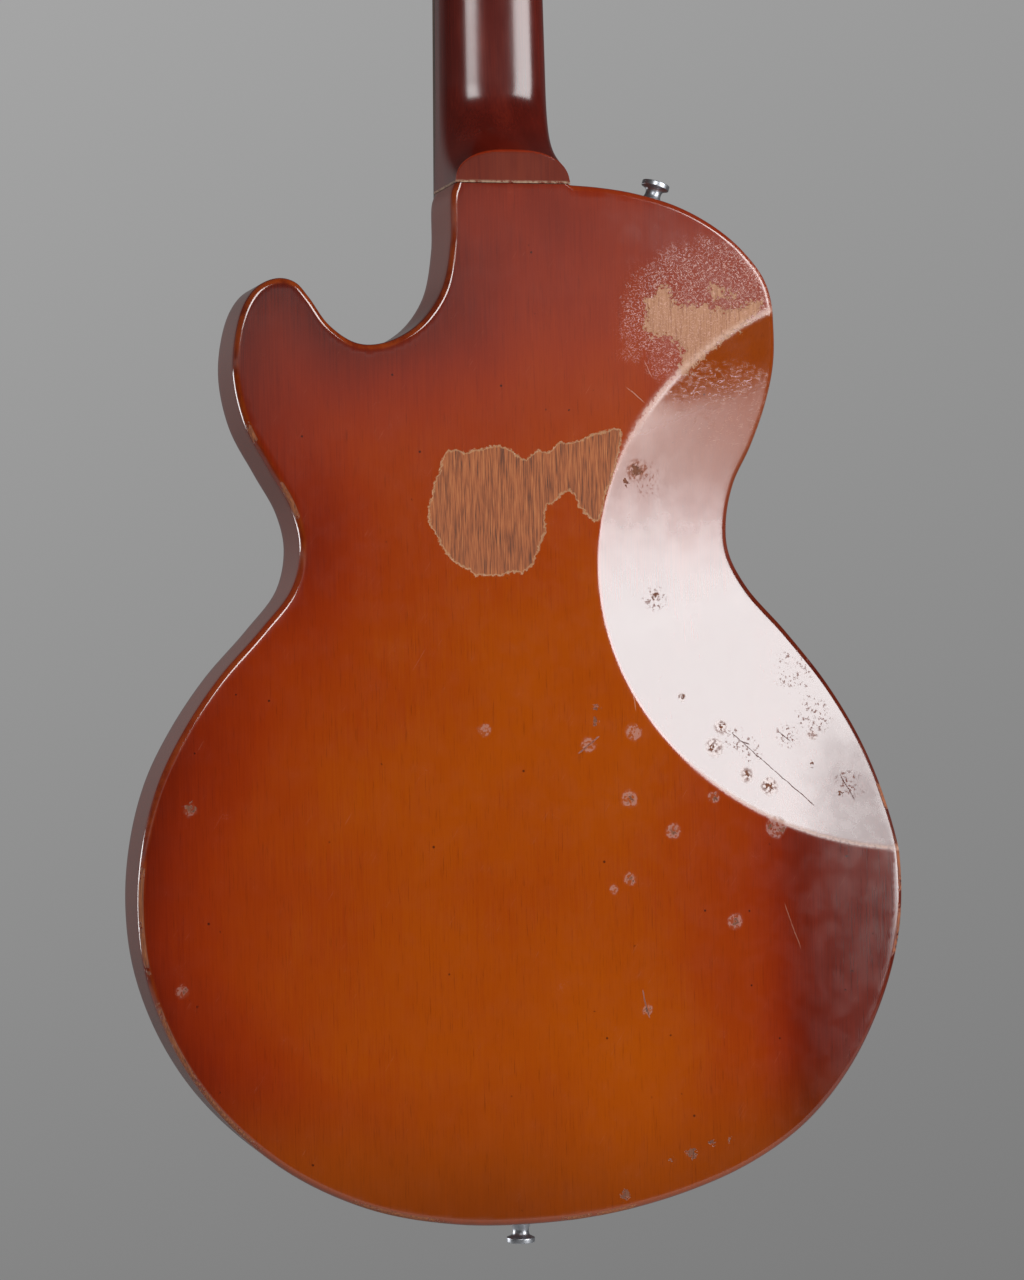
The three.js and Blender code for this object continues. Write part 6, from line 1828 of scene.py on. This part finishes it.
def cover():
    """A drawn metal cover: outside it rounds from its top into its sides, inside it is hollow."""
    rows = []
    for t in np.linspace(0, math.pi / 2, 7):
        stand_in = COVER_ROUND * (1 - math.sin(t))
        line = round_rectangle(0, PICKUP_Z, 43.0 - stand_in, 21.0 - stand_in, 2.6 - stand_in * 0.8)
        rows.append(at_level(line, COVER_TOP + COVER_ROUND * (1 - math.cos(t))))
    within = round_rectangle(0, PICKUP_Z, 42.1, 20.1, 1.7)
    rows += [at_level(line, COVER_FOOT), at_level(within, COVER_FOOT), at_level(within, COVER_CEILING)]
    rows = np.array(rows)
    shells = [(rows.reshape(-1, 3), [ring_faces(len(rows), rows.shape[1])])]
    for row, level in ((rows[0], COVER_TOP), (rows[-1], COVER_CEILING)):
        flat, triangles = filled(row[:, [0, 2]], pole_holes)
        shells.append((at_level(flat, level), [triangles]))
    return joined(*shells, *(upright(hole, COVER_TOP, COVER_CEILING) for hole in pole_holes))


piece("pickup_cover_shell", *cover(), nickel, "nickel", stands_for=["pickup_cover"])
bobbin = plate(round_rectangle(0, PICKUP_Z, 41.8, 19.8, 1.5), -7.3, 8.3, 0.6, 3)
base = plate(round_rectangle(0, PICKUP_Z, 45.0, 8.0, 2.0), 8.3, 9.8, 0.3, 3)
piece("pickup_coil_shell", *joined(bobbin, base), black, "black_plastic", stands_for=["pickup_coil"])
pole = turned(eased([[AXIS, -9.0], [1.9, -9.0], [1.9, 0.0], [AXIS, 0.0]], 0.3), 36)
for note, x in zip(NOTES, poles):
    piece(f"pole_{note}", *placed(pole, (x, 0, PICKUP_Z)), steel, "nickel")
print("pickup with", len(poles), "poles")

# %% [markdown]
# Two pots and the jack hang in the cavity. Each has a threaded neck through the pickguard, held by
# a hexagonal nut. A pot's shaft is split from its can, because it turns with its knob.

# %% Controls
NECK_FRONT, CAN_FRONT = -7.3, 0.3
POT_RADIUS, JACK_RADIUS, THREAD_RADIUS = 12.0, 7.5, 4.7


def hexagon_nut(radius):
    """A hexagonal nut on a threaded neck; its corners are chamfered by a small rounding."""
    outline = circle(0, 0, radius, 6)
    outline = evenly(np.vstack([outline, outline[:1]]), 1.0)[:-1]
    return plate(outline, -5.0, -2.8, 0.35, 3, [circle(0, 0, THREAD_RADIUS + 0.05, 40)])


can = eased([
    [3.3, NECK_FRONT], [THREAD_RADIUS, NECK_FRONT], [THREAD_RADIUS, CAN_FRONT], [POT_RADIUS, CAN_FRONT],
    [POT_RADIUS, 9.3], [AXIS, 9.3],
], 0.5)
can = np.vstack([can, [[AXIS, 7.5], [3.3, 7.5], [3.3, NECK_FRONT]]])
shaft_profile = eased([[AXIS, -18.8], [3.0, -18.8], [3.0, 7.2], [AXIS, 7.2]], 0.4)
for name in ("volume", "tone"):
    x, z = CONTROLS[name]
    shell = placed(joined(turned(can, 56), hexagon_nut(7.0)), (x, 0, z))
    piece(f"{name}_pot_shell", *shell, nickel, "steel", stands_for=[f"{name}_pot"])
    shell = placed(turned(shaft_profile, 40), (x, 0, z))
    rider = f"{name}_control"
    piece(f"{name}_shaft_shell", *shell, aluminium, "aluminium", rider, [f"{name}_shaft"])


def knob():
    """A turned knob. Its side is fluted for grip: the radius falls by 0.5 mm times sin^2 of 15 times
    the angle, and the flutes fade out towards its top and foot."""
    profile = eased([
        [3.3, -9.2], [8.5, -9.2], [8.5, -6.0], [12.5, -6.0], [12.5, -8.6], [11.9, -12.0], [10.6, -17.5],
        [10.0, -20.7], [9.0, -21.0], [AXIS, -20.6], [AXIS, -19.1], [3.3, -19.1], [3.3, -9.2],
    ], 0.5, 6)
    profile = evenly(profile, 0.35)
    sides = 180
    angle = 2 * math.pi * np.arange(sides) / sides
    reach, level = profile.T
    outer = (reach > 9.6) & (level < -8.7) & (level > -20.3)
    depth = 0.5 * smooth_step(-level, 8.7, 10.0) * smooth_step(level, -20.3, -18.8) * outer
    radius = reach[:, None] - depth[:, None] * np.sin(15 * angle)[None, :] ** 2
    height = np.broadcast_to(level[:, None], radius.shape)
    rings = np.stack([radius * np.cos(angle), height, radius * np.sin(angle)], -1)
    return rings.reshape(-1, 3), [ring_faces(len(rings), sides)]


pointer = plate(round_rectangle(0, 5.2, 0.6, 3.4, 0.55), -20.93, -20.2, 0.1, 2)
for name in ("volume", "tone"):
    x, z = CONTROLS[name]
    rider = f"{name}_control"
    shell = placed(knob(), (x, 0, z))
    piece(f"{name}_knob_shell", *shell, black, "black_plastic", rider, [f"{name}_knob"])
    piece(f"{name}_pointer", *placed(pointer, (x, 0, z)), pearl, "black_plastic", rider)
x, z = CONTROLS["jack"]
barrel = eased([
    [3.25, NECK_FRONT], [THREAD_RADIUS, NECK_FRONT], [THREAD_RADIUS, CAN_FRONT], [JACK_RADIUS, CAN_FRONT],
    [JACK_RADIUS, 24.3], [AXIS, 24.3], [AXIS, 22.0], [3.25, 22.0], [3.25, NECK_FRONT],
], 0.35)
shell = placed(joined(turned(barrel, 56), hexagon_nut(8.0)), (x, 0, z))
piece("output_jack_shell", *shell, nickel, "nickel", stands_for=["output_jack"])
print("controls with two knobs and a jack")

# %% [markdown]
# Two CAD nodes stay as they are: the truss rod lies inside the neck, and its nut shows only when the
# cover is off. They get real finishes in their own slots.

# %% Finishes for carried-over nodes
for name, look in (("truss_rod", steel), ("truss_rod_nut", brass)):
    for place in bpy.data.objects[name].material_slots:
        place.material = look
print("truss rod and nut finished")
